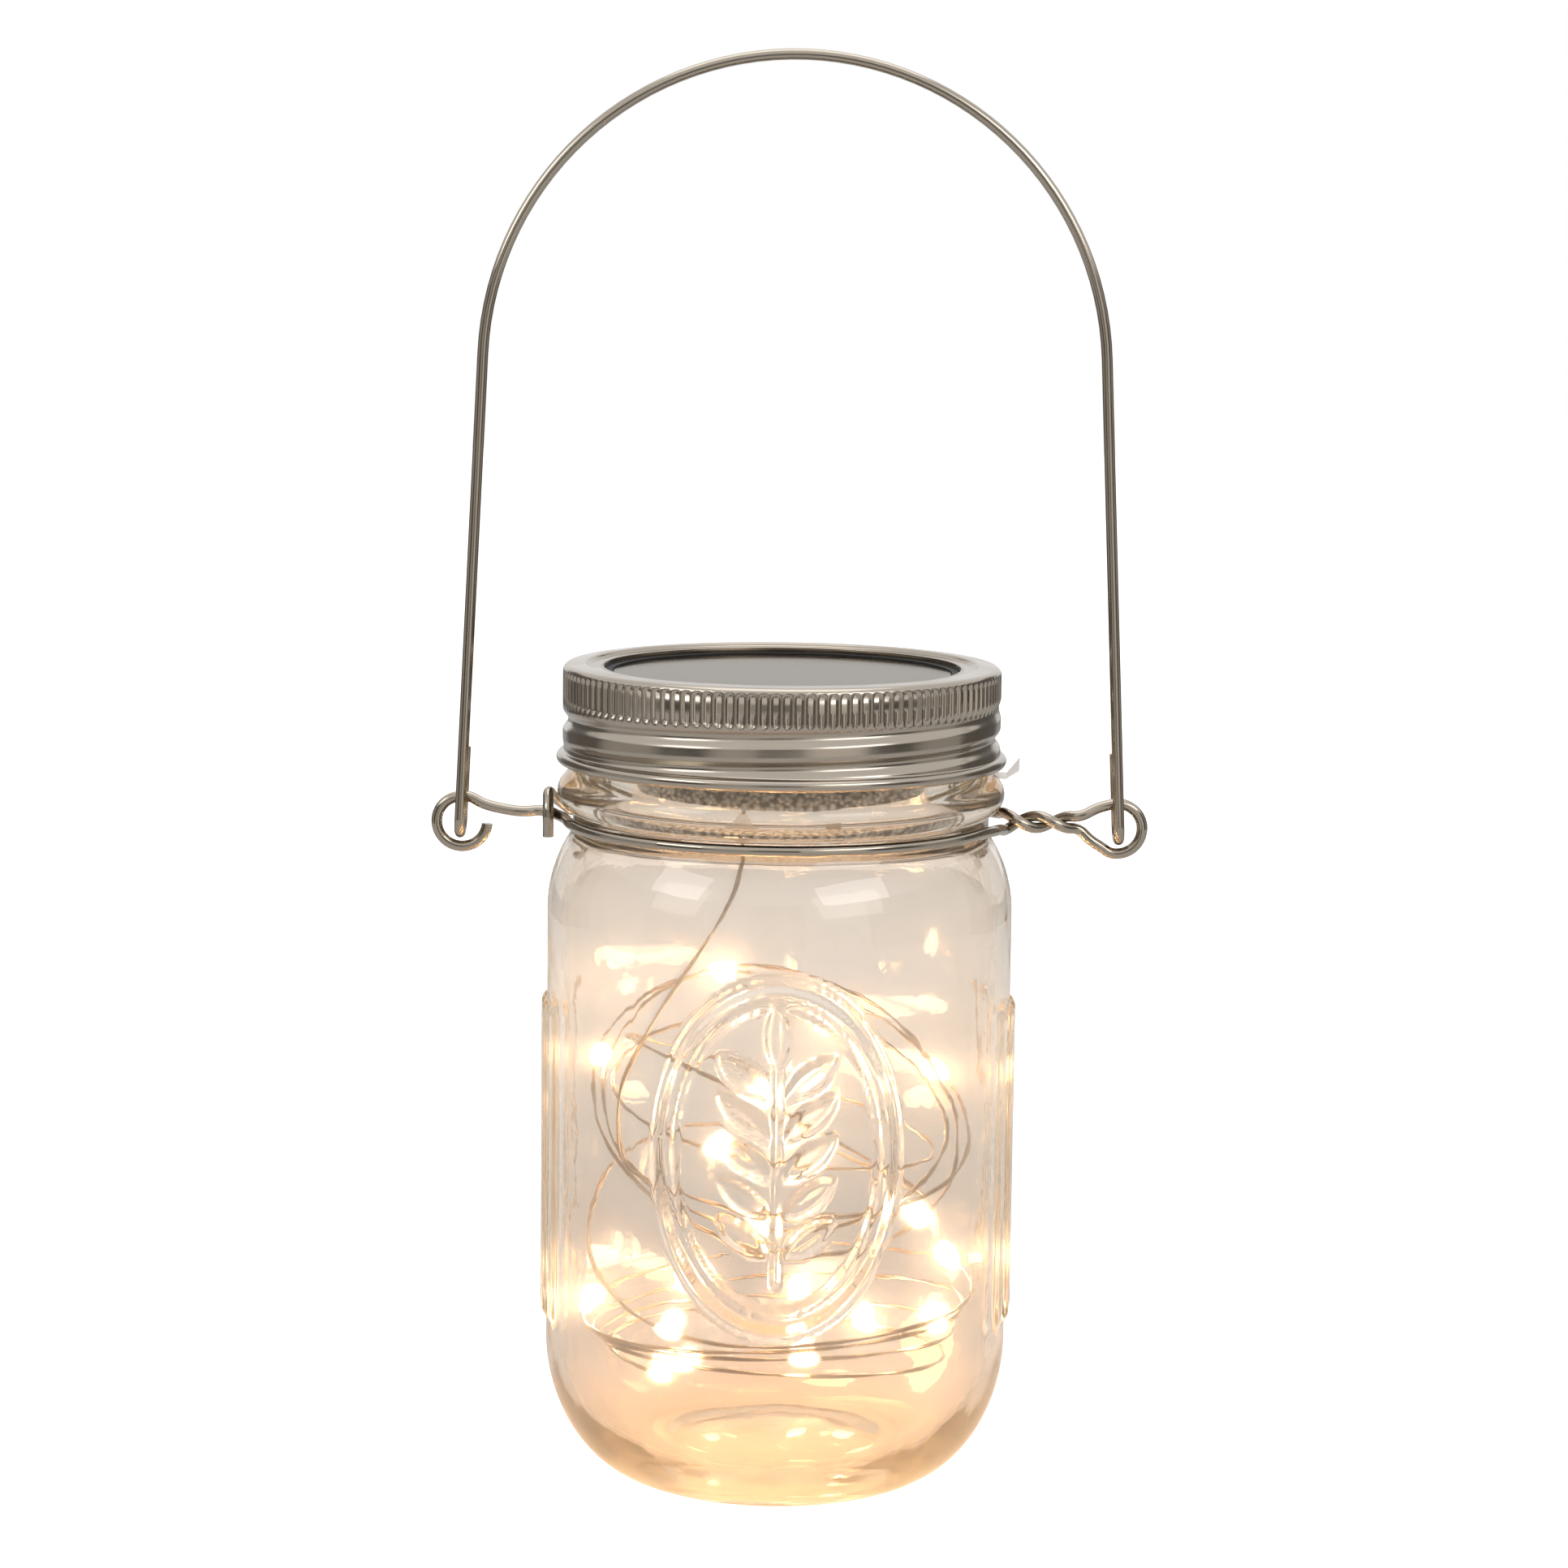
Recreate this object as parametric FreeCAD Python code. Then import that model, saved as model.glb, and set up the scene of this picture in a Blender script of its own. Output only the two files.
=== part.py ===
import FreeCAD, Part
import math
import os

# Mason jar lantern: a glass jar with a wire bail, closed by a screw band over a solar lid
# whose string of fairy lights lies in loose loops inside the jar.
# Millimetres. +Z is up, the origin is the middle of the ring the jar stands on.

os.makedirs("parts", exist_ok=True)
V = FreeCAD.Vector
ORIGIN = V(0, 0, 0)
UP = V(0, 0, 1)

# Glass jar
body_radius = 39.5
glass_wall = 2.6
base_ring_radius = 22.1
base_ring_width = 4.0
push_up = 3.0
floor_thickness = 4.6
heel_height = 23.9
body_height = 98.0
shoulder_height = 12.2
shoulder_foot = 0.7
shoulder_blend = 1.2
neck_step = 0.8
neck_height = 4.7
bead_proud = 2.6
bead_height = 6.4
finish_radius = 34.5
finish_height = 14.9
lip_width = 3.9
lip_round = 1.2
throat_blend = 1.6
flutes_per_side = 5
flute_round = 2.6
flute_proud = 1.0
flute_low = 27.0
flute_high = 84.0
flute_step_deg = 9.2

# Screw thread shared by the jar and the band
thread_pitch = 5.08
thread_turns = 1.6
thread_round = 1.5
thread_proud = 1.3
thread_start_up = 3.9

# Screw band
band_wall = 0.6
band_gap = 1.95
band_hole_radius = 29.4
band_step = 0.6
band_step_radius = 32.6
band_skirt = 15.9
band_corner = 1.0
curl_round = 1.0
curl_proud = 1.05
groove_round = 1.3
groove_depth = 0.95
groove_turns = 1.5
groove_start_deg = -185.0
knurl_count = 124
knurl_round = 1.0
knurl_depth = 0.3
knurl_height = 5.0
knurl_drop = 1.2
seat_clearance = 0.1

# Solar lid insert
gasket_thickness = 1.0
gasket_margin = 0.3
flange_thickness = 1.3
flange_margin = 0.8
puck_clearance = 0.7
puck_depth = 19.7
puck_wall = 1.7
panel_recess = 1.1
panel_ledge = 1.2
panel_clearance = 0.2
top_plate = 1.2
plate_thickness = 1.6
cell_side = 39.0
cell_turn_deg = -33.0
cell_thickness = 0.35
busbar_width = 0.9
busbar_thickness = 0.1
busbar_spread = 13.0
cover_thickness = 0.45

# Inside the insert
battery_radius = 5.2
battery_length = 44.0
battery_y = 8.0
battery_lift = 0.3
terminal_radius = 1.9
terminal_length = 1.0
contact_thickness = 0.4
contact_width = 8.0
contact_height = 9.0
spring_space = 3.0
spring_wire = 0.5
spring_radius = 2.6
spring_turns = 3
rib_thickness = 1.2
board_length = 28.0
board_width = 13.0
board_thickness = 1.2
board_y = -7.0
standoff_radius = 1.6
standoff_height = 1.2
board_margin = 2.4
chip_size = 5.0
chip_height = 1.6
coil_radius = 2.2
coil_height = 3.6
door_length = 47.0
door_width = 12.0
door_lip = 1.4
door_clearance = 0.15
screw_radius = 1.1
screw_head_radius = 2.3
screw_head_height = 0.9
screw_length = 8.0
screw_slot = 0.5
screw_clearance = 0.1
boss_radius = 3.0
screw_places = [(-20.0, -12.0), (20.0, -12.0), (0.0, 21.0)]
switch_place = (9.5, -18.5)
switch_length = 8.6
switch_width = 4.0
switch_height = 3.6
switch_shell = 0.5
slider_width = 1.8
slider_length = 2.4
slider_out = 1.4
slider_travel = 2.4
slider_clearance = 0.15

# Fairy lights
wire_radius = 0.4
grommet_place = (-6.0, -20.0)
grommet_radius = 2.6
grommet_waist = 1.8
grommet_flange = 0.8
grommet_nose = 2.6
coil_turns = 9
coil_start_deg = 232.0
tall_radius = 33.2
tall_step = 1.9
tall_middle = 64.0
tall_waves = [(13.0, 0.93, 4.4), (6.0, 1.2, 2.2)]
low_turn = 5.0
settle_before = 0.6
settle_turns = 0.7
low_radius = 34.8
low_step = 1.6
low_middle = 32.0
low_fall = 3.0
low_waves = [(2.2, 1.13, 1.0)]
light_count = 20
light_radius = 1.35
light_length = 5.0
light_clearance = 0.5

# Bail and neck wire
bail_wire = 1.85
ring_clearance = 0.1
ring_drop = 1.7
bail_middle_x = 1.5
arch_radius = 52.1
arch_centre_z = 189.1
leg_splay_deg = 2.73
pivot_above_ring = 3.3
eye_radius = 4.3
hairpin_radius = 2.5
hairpin_drop = 3.7
hairpin_tail = 8.2
twist_radius = 1.02
twist_quarter = 2.9
twist_out = 4.4
clasp_radius = 2.05

# Insulating pull tab
tab_thickness = 0.25
tab_width = 7.0
tab_inside = 2.2
tab_outside = 2.2
tab_rise = 1.9
tab_twist_deg = 11.0
tab_azimuth_deg = -4.0

# Radii and heights that follow from the sizes above
neck_radius = finish_radius + neck_step
bead_radius = neck_radius + bead_proud
bore_radius = finish_radius - lip_width
shoulder_top = body_height + shoulder_height
bead_low = shoulder_top + neck_height
bead_high = bead_low + bead_height
lip_z = bead_high + finish_height
flange_low = lip_z + gasket_thickness
flange_top = flange_low + flange_thickness
band_top = flange_top + seat_clearance + band_wall + band_step
band_inner = finish_radius + band_gap
band_outer = band_inner + band_wall
recess_floor = flange_top - panel_recess
cavity_top = recess_floor - top_plate
puck_radius = bore_radius - puck_clearance
cavity_radius = puck_radius - puck_wall
recess_radius = puck_radius - panel_ledge
base_low = flange_low - puck_depth
base_high = base_low + plate_thickness
ring_z = bead_low - ring_drop
ring_radius = neck_radius + bail_wire / 2 + ring_clearance
pivot_z = ring_z + pivot_above_ring


def at(r, z):
    """A point of a turned outline: radius and height."""
    return V(r, 0, z)


def line(a, b):
    return Part.LineSegment(a, b).toShape()


def arc(a, middle, b):
    return Part.Arc(a, middle, b).toShape()


def tangent_arc(a, corner, b):
    """The arc from a to b that is tangent at both ends to the lines to their common corner."""
    chord_middle = (a + b) * 0.5
    half_chord = (b - a).Length / 2
    to_corner = corner - chord_middle
    if to_corner.Length < 1e-6 * half_chord:
        return line(a, b)
    half_angle = math.atan2(to_corner.Length, half_chord)
    rise = half_chord * math.tan(half_angle / 2)
    return arc(a, chord_middle + to_corner * (rise / to_corner.Length), b)


def arc_leaving(a, way, b):
    """The arc from a to b that sets off along way."""
    span = b - a
    return tangent_arc(a, a + way * (span.dot(span) / (2 * span.dot(way))), b)


def biarc(a, a_way, b, b_way):
    """Two tangent arcs from a to b, leaving along a_way and arriving along b_way."""
    a_way = V(a_way).normalize()
    b_way = V(b_way).normalize()
    span = b - a
    ways = a_way + b_way
    bend = 2 * (1 - a_way.dot(b_way))
    along = span.dot(ways)
    if bend < 1e-9:
        reach = span.dot(span) / (2 * along)
    else:
        reach = (math.sqrt(along * along + bend * span.dot(span)) - along) / bend
    first = a + a_way * reach
    second = b - b_way * reach
    joint = (first + second) * 0.5
    return [tangent_arc(a, first, joint), tangent_arc(joint, second, b)]


def turned(edges):
    """A solid of revolution about the jar's axis from a closed outline."""
    return Part.Face(Part.Wire(edges)).revolve(ORIGIN, UP, 360)


def polygon(points):
    return [line(a, b) for a, b in zip(points, points[1:] + points[:1])]


def ring(inner, outer, low, high):
    if inner > 0:
        return turned(polygon([at(inner, low), at(outer, low), at(outer, high), at(inner, high)]))
    return Part.makeCylinder(outer, high - low, V(0, 0, low))


def post(x, y, radius, low, high):
    return Part.makeCylinder(radius, high - low, V(x, y, low))


def block(x, y, length, width, low, high):
    """A box centred on x and y."""
    return Part.makeBox(length, width, high - low, V(x - length / 2, y - width / 2, low))


def tube(edges, radius, way, frenet=False):
    """A round wire of the given radius along tangent edges that set off in direction way."""
    path = Part.Wire(edges)
    start = path.Edges[0].valueAt(path.Edges[0].FirstParameter)
    circle = Part.Wire(Part.Circle(start, way, radius).toShape())
    solid = path.makePipeShell([circle], True, frenet)
    return solid


def helix_tube(radius, low, turns, start_deg, round_radius):
    """A round bar wound on the thread's right-hand helix."""
    helix = Part.makeHelix(thread_pitch, thread_pitch * turns, radius)
    climb = V(0, radius, thread_pitch / (2 * math.pi))
    circle = Part.Wire(Part.Circle(V(radius, 0, 0), climb, round_radius).toShape())
    bar = Part.Wire(helix.Edges).makePipeShell([circle], True, True)
    bar.rotate(ORIGIN, UP, start_deg)
    bar.translate(V(0, 0, low))
    return bar


def smooth_ways(points, ways):
    """A direction at each point: as given, or else that of the circle through its neighbours."""
    filled = []
    for index, way in enumerate(ways):
        if way is None:
            back = points[index] - points[index - 1]
            on = points[index + 1] - points[index]
            way = back * (on.Length / back.Length) + on * (back.Length / on.Length)
        filled.append(way)
    return filled


def biarc_chain(points, ways):
    """Biarcs from point to point along the given directions."""
    edges = []
    for index in range(len(points) - 1):
        edges += biarc(points[index], ways[index], points[index + 1], ways[index + 1])
    return edges


def cord_edges(points):
    """Straight runs joined by tangent arcs as large as the runs allow, with the arcs' radii."""
    edges = []
    radii = []
    here = points[0]
    for before, corner, after in zip(points, points[1:], points[2:]):
        back = V(before - corner)
        on = V(after - corner)
        turn = math.pi - back.getAngle(on)
        reach = 0.45 * min(back.Length, on.Length)
        radii.append(reach / math.tan(turn / 2))
        start = corner + back.normalize() * reach
        end = corner + on.normalize() * reach
        edges.append(line(here, start))
        edges.append(tangent_arc(start, corner, end))
        here = end
    edges.append(line(here, points[-1]))
    return edges, radii


def report_tube(name, solid, edges, radius):
    length = sum(edge.Length for edge in edges)
    section = math.pi * radius * radius
    print(name, "length", round(length, 1), "volume", round(solid.Volume, 1),
          "section x length", round(section * length, 1), "valid", solid.isValid())


def glass_jar():
    ring_inner = base_ring_radius - base_ring_width
    shoulder_end = neck_radius + shoulder_foot
    neck_start = shoulder_top + shoulder_blend
    edges = [line(at(0, 0), at(base_ring_radius, 0))]
    edges += biarc(at(base_ring_radius, 0), V(1, 0, 0), at(body_radius, heel_height), UP)
    edges += [
        line(at(body_radius, heel_height), at(body_radius, body_height)),
        arc_leaving(at(body_radius, body_height), UP, at(shoulder_end, shoulder_top)),
        line(at(shoulder_end, shoulder_top), at(neck_radius, neck_start)),
        line(at(neck_radius, neck_start), at(neck_radius, bead_low)),
        arc(at(neck_radius, bead_low), at(bead_radius, (bead_low + bead_high) / 2),
            at(neck_radius, bead_high)),
        line(at(neck_radius, bead_high), at(finish_radius, bead_high)),
        line(at(finish_radius, bead_high), at(finish_radius, lip_z - lip_round)),
        tangent_arc(at(finish_radius, lip_z - lip_round), at(finish_radius, lip_z),
                    at(finish_radius - lip_round, lip_z)),
        line(at(finish_radius - lip_round, lip_z), at(0, lip_z)),
        line(at(0, lip_z), at(0, 0)),
    ]
    jar = turned(edges)
    for side_deg in (0, 180):
        for index in range(flutes_per_side):
            turn = side_deg + (index - (flutes_per_side - 1) / 2) * flute_step_deg
            jar = jar.fuse(flute(turn))
    bead = helix_tube(finish_radius + thread_proud - thread_round, bead_high + thread_start_up,
                      thread_turns, 0, thread_round)
    jar = jar.fuse(bead)
    jar = jar.cut(jar_inside())
    dome = turned([line(at(0, -1), at(ring_inner, -1)), line(at(ring_inner, -1), at(ring_inner, 0)),
                   tangent_arc(at(ring_inner, 0), at(ring_inner / 2, push_up), at(0, push_up)),
                   line(at(0, push_up), at(0, -1))])
    return jar.cut(dome)


def flute(turn_deg):
    """One raised upright rib with rounded ends, half sunk in the wall."""
    radius = body_radius + flute_proud - flute_round
    low = flute_low + flute_round
    high = flute_high - flute_round
    rib = post(radius, 0, flute_round, low, high)
    for z in (low, high):
        rib = rib.fuse(Part.makeSphere(flute_round, V(radius, 0, z)))
    rib.rotate(ORIGIN, UP, turn_deg)
    return rib.removeSplitter()


def jar_inside():
    inner = body_radius - glass_wall
    floor_edge = base_ring_radius - base_ring_width / 2
    throat_z = shoulder_top + throat_blend
    edges = [
        line(at(0, lip_z + 1), at(0, floor_thickness + push_up / 2)),
        tangent_arc(at(0, floor_thickness + push_up / 2), at(floor_edge / 2, floor_thickness + push_up / 2),
                    at(floor_edge, floor_thickness)),
    ]
    edges += biarc(at(floor_edge, floor_thickness), V(1, 0, 0), at(inner, heel_height), UP)
    edges += [
        line(at(inner, heel_height), at(inner, body_height)),
        arc_leaving(at(inner, body_height), UP, at(bore_radius, throat_z)),
        line(at(bore_radius, throat_z), at(bore_radius, lip_z - lip_round)),
        tangent_arc(at(bore_radius, lip_z - lip_round), at(bore_radius, lip_z),
                    at(bore_radius + lip_round, lip_z)),
        line(at(bore_radius + lip_round, lip_z), at(bore_radius + lip_round, lip_z + 1)),
        line(at(bore_radius + lip_round, lip_z + 1), at(0, lip_z + 1)),
    ]
    return turned(edges)


def lid_band():
    skirt_low = band_top - band_skirt
    curl_middle = band_outer + curl_proud - curl_round
    under = band_top - band_wall
    edges = [
        line(at(band_hole_radius, band_top - band_step), at(band_step_radius, band_top - band_step)),
        line(at(band_step_radius, band_top - band_step), at(band_step_radius + band_step, band_top)),
        line(at(band_step_radius + band_step, band_top), at(band_outer - band_corner, band_top)),
        tangent_arc(at(band_outer - band_corner, band_top), at(band_outer, band_top),
                    at(band_outer, band_top - band_corner)),
        line(at(band_outer, band_top - band_corner), at(band_outer, skirt_low)),
        line(at(band_outer, skirt_low), at(band_inner, skirt_low)),
        line(at(band_inner, skirt_low), at(band_inner, under)),
        line(at(band_inner, under), at(band_step_radius + band_step + band_wall, under)),
        line(at(band_step_radius + band_step + band_wall, under),
             at(band_step_radius + band_wall, under - band_step)),
        line(at(band_step_radius + band_wall, under - band_step), at(band_hole_radius, under - band_step)),
        line(at(band_hole_radius, under - band_step), at(band_hole_radius, band_top - band_step)),
    ]
    band = turned(edges)
    band = band.fuse(Part.makeTorus(curl_middle, curl_round, V(0, 0, skirt_low)))
    groove_helix = band_outer - groove_depth + groove_round
    groove_low = bead_high + thread_start_up + thread_pitch * (0.5 + groove_start_deg / 360)
    ridge = helix_tube(groove_helix, groove_low, groove_turns, groove_start_deg, groove_round + band_wall)
    ridge = ridge.cut(ring(band_inner + band_wall / 2, band_outer + 2 * groove_round + 2 * band_wall,
                           skirt_low - thread_pitch, band_top + thread_pitch))
    band = band.fuse(ridge)
    band = band.cut(helix_tube(groove_helix, groove_low, groove_turns, groove_start_deg, groove_round))
    cutter = post(band_outer - knurl_depth + knurl_round, 0, knurl_round,
                  band_top - knurl_drop - knurl_height, band_top - knurl_drop)
    cutters = []
    for index in range(knurl_count):
        flute_cut = cutter.copy()
        flute_cut.rotate(ORIGIN, UP, 360 * index / knurl_count)
        cutters.append(flute_cut)
    return band.cut(cutters)


def bail_handle():
    splay = math.radians(leg_splay_deg)
    leg_y = -hairpin_radius
    right_top = V(arch_radius * math.cos(splay), leg_y, arch_centre_z + arch_radius * math.sin(splay))
    down = V(math.sin(splay), 0, -math.cos(splay))
    foot = right_top + down * ((right_top.z - pivot_z + hairpin_drop) / math.cos(splay))
    back = V(0, hairpin_radius, 0)
    turn = foot + back + down * hairpin_radius
    tail_start = foot + back * 2
    tail_end = tail_start - down * (hairpin_drop + hairpin_tail)

    def left(p):
        return V(-p.x, p.y, p.z)

    edges = [
        line(tail_end, tail_start),
        arc(tail_start, turn, foot),
        line(foot, right_top),
        arc(right_top, V(0, leg_y, arch_centre_z + arch_radius), left(right_top)),
        line(left(right_top), left(foot)),
        arc(left(foot), left(turn), left(tail_start)),
        line(left(tail_start), left(tail_end)),
    ]
    handle = tube(edges, bail_wire / 2, down)
    report_tube("bail_handle", handle, edges, bail_wire / 2)
    handle.translate(V(bail_middle_x, 0, 0))
    return handle


def eye_half_span():
    """Half the distance between the eyes, where the bail's legs cross the pivot's height."""
    splay = math.radians(leg_splay_deg)
    top_x = arch_radius * math.cos(splay)
    top_z = arch_centre_z + arch_radius * math.sin(splay)
    return top_x + (top_z - pivot_z) * math.tan(splay)


def on_ring(turn_deg):
    turn = math.radians(turn_deg)
    return V(ring_radius * math.cos(turn), ring_radius * math.sin(turn), ring_z)


def ring_way(turn_deg):
    turn = math.radians(turn_deg)
    return V(-math.sin(turn), math.cos(turn), 0)


def twist_strand(side):
    """A strand from the ring to the eye, with its directions: it crosses the other and winds round it."""
    points = [V(ring_radius - 0.7, side * 9.2, ring_z + side * 0.35),
              V(ring_radius + 0.8, side * 4.2, ring_z + side * 0.8),
              V(ring_radius + 2.3, 0, ring_z + side * 1.2)]
    ways = [None] * len(points)
    for index in range(4):
        turn = math.pi / 2 * index
        points.append(V(ring_radius + twist_out + twist_quarter * index,
                        -side * twist_radius * math.cos(turn), ring_z - side * twist_radius * math.sin(turn)))
        ways.append(V(2 * twist_quarter / math.pi,
                      side * twist_radius * math.sin(turn), -side * twist_radius * math.cos(turn)))
    return points, ways


def neck_wire():
    """One wire: hooked eye, shank, round the front, twist, eye, twist, round the back, clasp."""
    left_x = bail_middle_x - eye_half_span()
    right_x = bail_middle_x + eye_half_span()
    eye_z = pivot_z - eye_radius

    def on_eye(middle_x, turn_deg):
        turn = math.radians(turn_deg)
        return V(middle_x + eye_radius * math.cos(turn), 0, eye_z + eye_radius * math.sin(turn))

    shank_y = -0.8
    shank_z = ring_z + 0.9
    clasp_x = -ring_radius - 3.0
    front_turns = (192, 204, 225, 250, 275, 300, 318, 332)
    back_turns = (28, 42, 60, 85, 110, 135, 156, 168)
    hook = [on_eye(left_x, turn) for turn in (-5, -50, -95, -140, -185, -230, -270)]
    shank = [
        V(left_x + 4.6, shank_y / 2, pivot_z - 1.5),
        V(left_x + 9.0, shank_y, shank_z + 0.1),
        V(clasp_x, shank_y, shank_z),
        V(-ring_radius - 0.9, -2.6, ring_z + 0.4),
    ]
    eye = [on_eye(right_x, turn) for turn in (-140, -95, -50, 0, 45, 90, 112)]
    clasp = [
        V(-ring_radius - 1.5, 5.2, ring_z + 1.8),
        V(clasp_x + 0.4, 1.6, shank_z + 2.6),
        V(clasp_x, shank_y + 0.2, shank_z + 1.3 + clasp_radius),
        V(clasp_x, shank_y - clasp_radius, shank_z + 1.3),
        V(clasp_x, shank_y - clasp_radius, shank_z - 4.0),
    ]
    front_strand, front_strand_ways = twist_strand(-1)
    back_strand, back_strand_ways = twist_strand(1)
    points = hook + shank + [on_ring(turn) for turn in front_turns] + front_strand + eye
    points += back_strand[::-1] + [on_ring(turn) for turn in back_turns] + clasp
    first_way = V(-math.sin(math.radians(5)), 0, -1)
    ways = [first_way] + [None] * (len(hook) + len(shank) - 1)
    ways += [ring_way(turn) for turn in front_turns]
    ways += front_strand_ways + [None] * len(eye)
    ways += [None if way is None else way * -1 for way in reversed(back_strand_ways)]
    ways += [ring_way(turn) for turn in back_turns]
    ways += [None] * (len(clasp) - 1) + [V(0, 0, -1)]
    edges = biarc_chain(points, smooth_ways(points, ways))
    wire = tube(edges, bail_wire / 2, first_way)
    report_tube("neck_wire", wire, edges, bail_wire / 2)
    return wire


def pull_tab():
    """A strip of film that lies on the jar's bead, then turns up and twists outside the band."""
    inside = bead_radius - tab_inside
    bend = bead_radius + tab_thickness
    top = bead_high + tab_thickness
    half = tab_width / 2
    flat = Part.makeBox(bend - inside, tab_width, tab_thickness, V(inside, -half, bead_high))
    corners = [V(0, -half, 0), V(0, half, 0), V(0, half, tab_thickness), V(0, -half, tab_thickness)]
    root = Part.Wire(polygon([corner + V(bend, 0, bead_high) for corner in corners]))
    tip = Part.Wire(polygon([corner - V(0, 0, tab_thickness / 2) for corner in corners]))
    tip.rotate(ORIGIN, V(1, 0, 0), tab_twist_deg)
    tip.translate(V(bend + tab_outside, 0, top + tab_rise))
    strip = flat.fuse(Part.makeLoft([root, tip], True, True))
    strip.rotate(ORIGIN, UP, tab_azimuth_deg)
    return strip


def lid_gasket():
    return ring(bore_radius + gasket_margin, finish_radius - gasket_margin, lip_z, flange_low)


def battery_z():
    return base_high + battery_lift + battery_radius


def contact_face_x():
    """Where the positive contact's plate meets the battery's button."""
    return battery_length / 2 + terminal_length / 2


def spring_seat_x():
    return -battery_length / 2 - spring_space + terminal_length / 2


def puck_housing():
    body = ring(0, puck_radius, base_high, flange_low)
    body = body.fuse(ring(0, band_inner - flange_margin, flange_low, flange_top))
    body = body.cut(ring(0, recess_radius, recess_floor, flange_top + 1))
    body = body.cut(ring(0, cavity_radius, base_high - 1, cavity_top))
    ribs = []
    rib_low = battery_z() - contact_height / 2
    right_x = contact_face_x() + contact_thickness + rib_thickness / 2
    left_x = spring_seat_x() - contact_thickness - rib_thickness / 2
    for x in (left_x, right_x):
        ribs.append(block(x, battery_y, rib_thickness, contact_width, rib_low, recess_floor - top_plate / 2))
    for x, y in screw_places:
        ribs.append(post(x, y, boss_radius, base_high, recess_floor - top_plate / 2))
    for side in (-1, 1):
        x = side * (board_length / 2 - board_margin)
        ribs.append(post(x, board_y, standoff_radius, cavity_top - standoff_height, recess_floor - top_plate / 2))
    body = body.fuse(ribs)
    body = body.common(ring(0, band_inner, base_high, flange_top))
    for x, y in screw_places:
        hole_top = base_low + screw_length + screw_clearance
        body = body.cut(post(x, y, screw_radius + screw_clearance, base_high - 1, hole_top))
    return body.removeSplitter()


def puck_base():
    plate = ring(0, puck_radius, base_low, base_high)
    half = plate_thickness / 2
    plate = plate.cut(block(0, battery_y, door_length, door_width, base_low - 1, base_low + half))
    plate = plate.cut(block(0, battery_y, door_length - 2 * door_lip, door_width - 2 * door_lip,
                            base_low, base_high + 1))
    for x, y in screw_places:
        plate = plate.cut(post(x, y, screw_radius + screw_clearance, base_low - 1, base_high + 1))
        plate = plate.cut(post(x, y, screw_head_radius + screw_clearance, base_low - 1,
                               base_low + screw_head_height))
    plate = plate.cut(post(*grommet_place, grommet_waist + screw_clearance, base_low - 1, base_high + 1))
    x, y = switch_place
    slot = slider_length + slider_travel + 2 * slider_clearance
    return plate.cut(block(x, y, slot, slider_width + 2 * slider_clearance, base_low - 1, base_high + 1))


def battery_door():
    half = plate_thickness / 2
    lid = block(0, battery_y, door_length - 2 * door_clearance, door_width - 2 * door_clearance,
                base_low, base_low + half)
    gap = 2 * door_lip + 2 * door_clearance
    return lid.fuse(block(0, battery_y, door_length - gap, door_width - gap, base_low, base_high)).removeSplitter()


def base_screw(x, y):
    head_top = base_low + screw_head_height
    screw = post(x, y, screw_head_radius, base_low, head_top)
    screw = screw.fuse(post(x, y, screw_radius, base_low, base_low + screw_length))
    for length, width in ((3 * screw_radius, screw_slot), (screw_slot, 3 * screw_radius)):
        screw = screw.cut(block(x, y, length, width, base_low - 1, base_low + screw_head_height / 2))
    return screw.removeSplitter()


def solar_cell():
    cell = block(0, 0, cell_side, cell_side, recess_floor, recess_floor + cell_thickness)
    cell.rotate(ORIGIN, UP, cell_turn_deg)
    return cell


def cell_busbars():
    low = recess_floor + cell_thickness
    bars = [block(side * busbar_spread / 2, 0, busbar_width, cell_side, low, low + busbar_thickness)
            for side in (-1, 1)]
    for bar in bars:
        bar.rotate(ORIGIN, UP, cell_turn_deg)
    return Part.makeCompound(bars)


def panel_cover():
    low = recess_floor + cell_thickness + busbar_thickness
    return ring(0, recess_radius - panel_clearance, low, low + cover_thickness)


def board_top():
    return cavity_top - standoff_height


def circuit_board():
    return block(0, board_y, board_length, board_width, board_top() - board_thickness, board_top())


def board_parts():
    high = board_top() - board_thickness
    chip = block(-chip_size, board_y, chip_size, chip_size, high - chip_height, high)
    coil = post(chip_size, board_y, coil_radius, high - coil_height, high)
    return Part.makeCompound([chip, coil])


def battery_cell():
    low_x = -battery_length / 2 + terminal_length / 2
    length = battery_length - terminal_length
    can = Part.makeCylinder(battery_radius, length, V(low_x - terminal_length, battery_y, battery_z()), V(1, 0, 0))
    button = Part.makeCylinder(terminal_radius, 2 * terminal_length,
                               V(contact_face_x() - 2 * terminal_length, battery_y, battery_z()), V(1, 0, 0))
    return can.fuse(button).removeSplitter()


def contact_plate(x):
    return Part.makeBox(contact_thickness, contact_width, contact_height,
                        V(x, battery_y - contact_width / 2, battery_z() - contact_height / 2))


def contact_spring():
    """The negative contact's coil spring between its plate and the battery's flat end."""
    start = spring_seat_x() + spring_wire / 2 + 0.02
    end = battery_cell_low_x() - spring_wire / 2 - 0.02
    points = []
    for index in range(4 * spring_turns + 1):
        turn = math.pi / 2 * index
        share = index / (4 * spring_turns)
        points.append(V(start + (end - start) * share, battery_y + spring_radius * math.cos(turn),
                        battery_z() + spring_radius * math.sin(turn)))
    rise = (end - start) / spring_turns / (2 * math.pi)
    way = V(rise, 0, spring_radius)
    ways = [way] + [None] * (len(points) - 2) + [way]
    edges = biarc_chain(points, smooth_ways(points, ways))
    spring = tube(edges, spring_wire / 2, way)
    report_tube("contact_spring", spring, edges, spring_wire / 2)
    return spring


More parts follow.
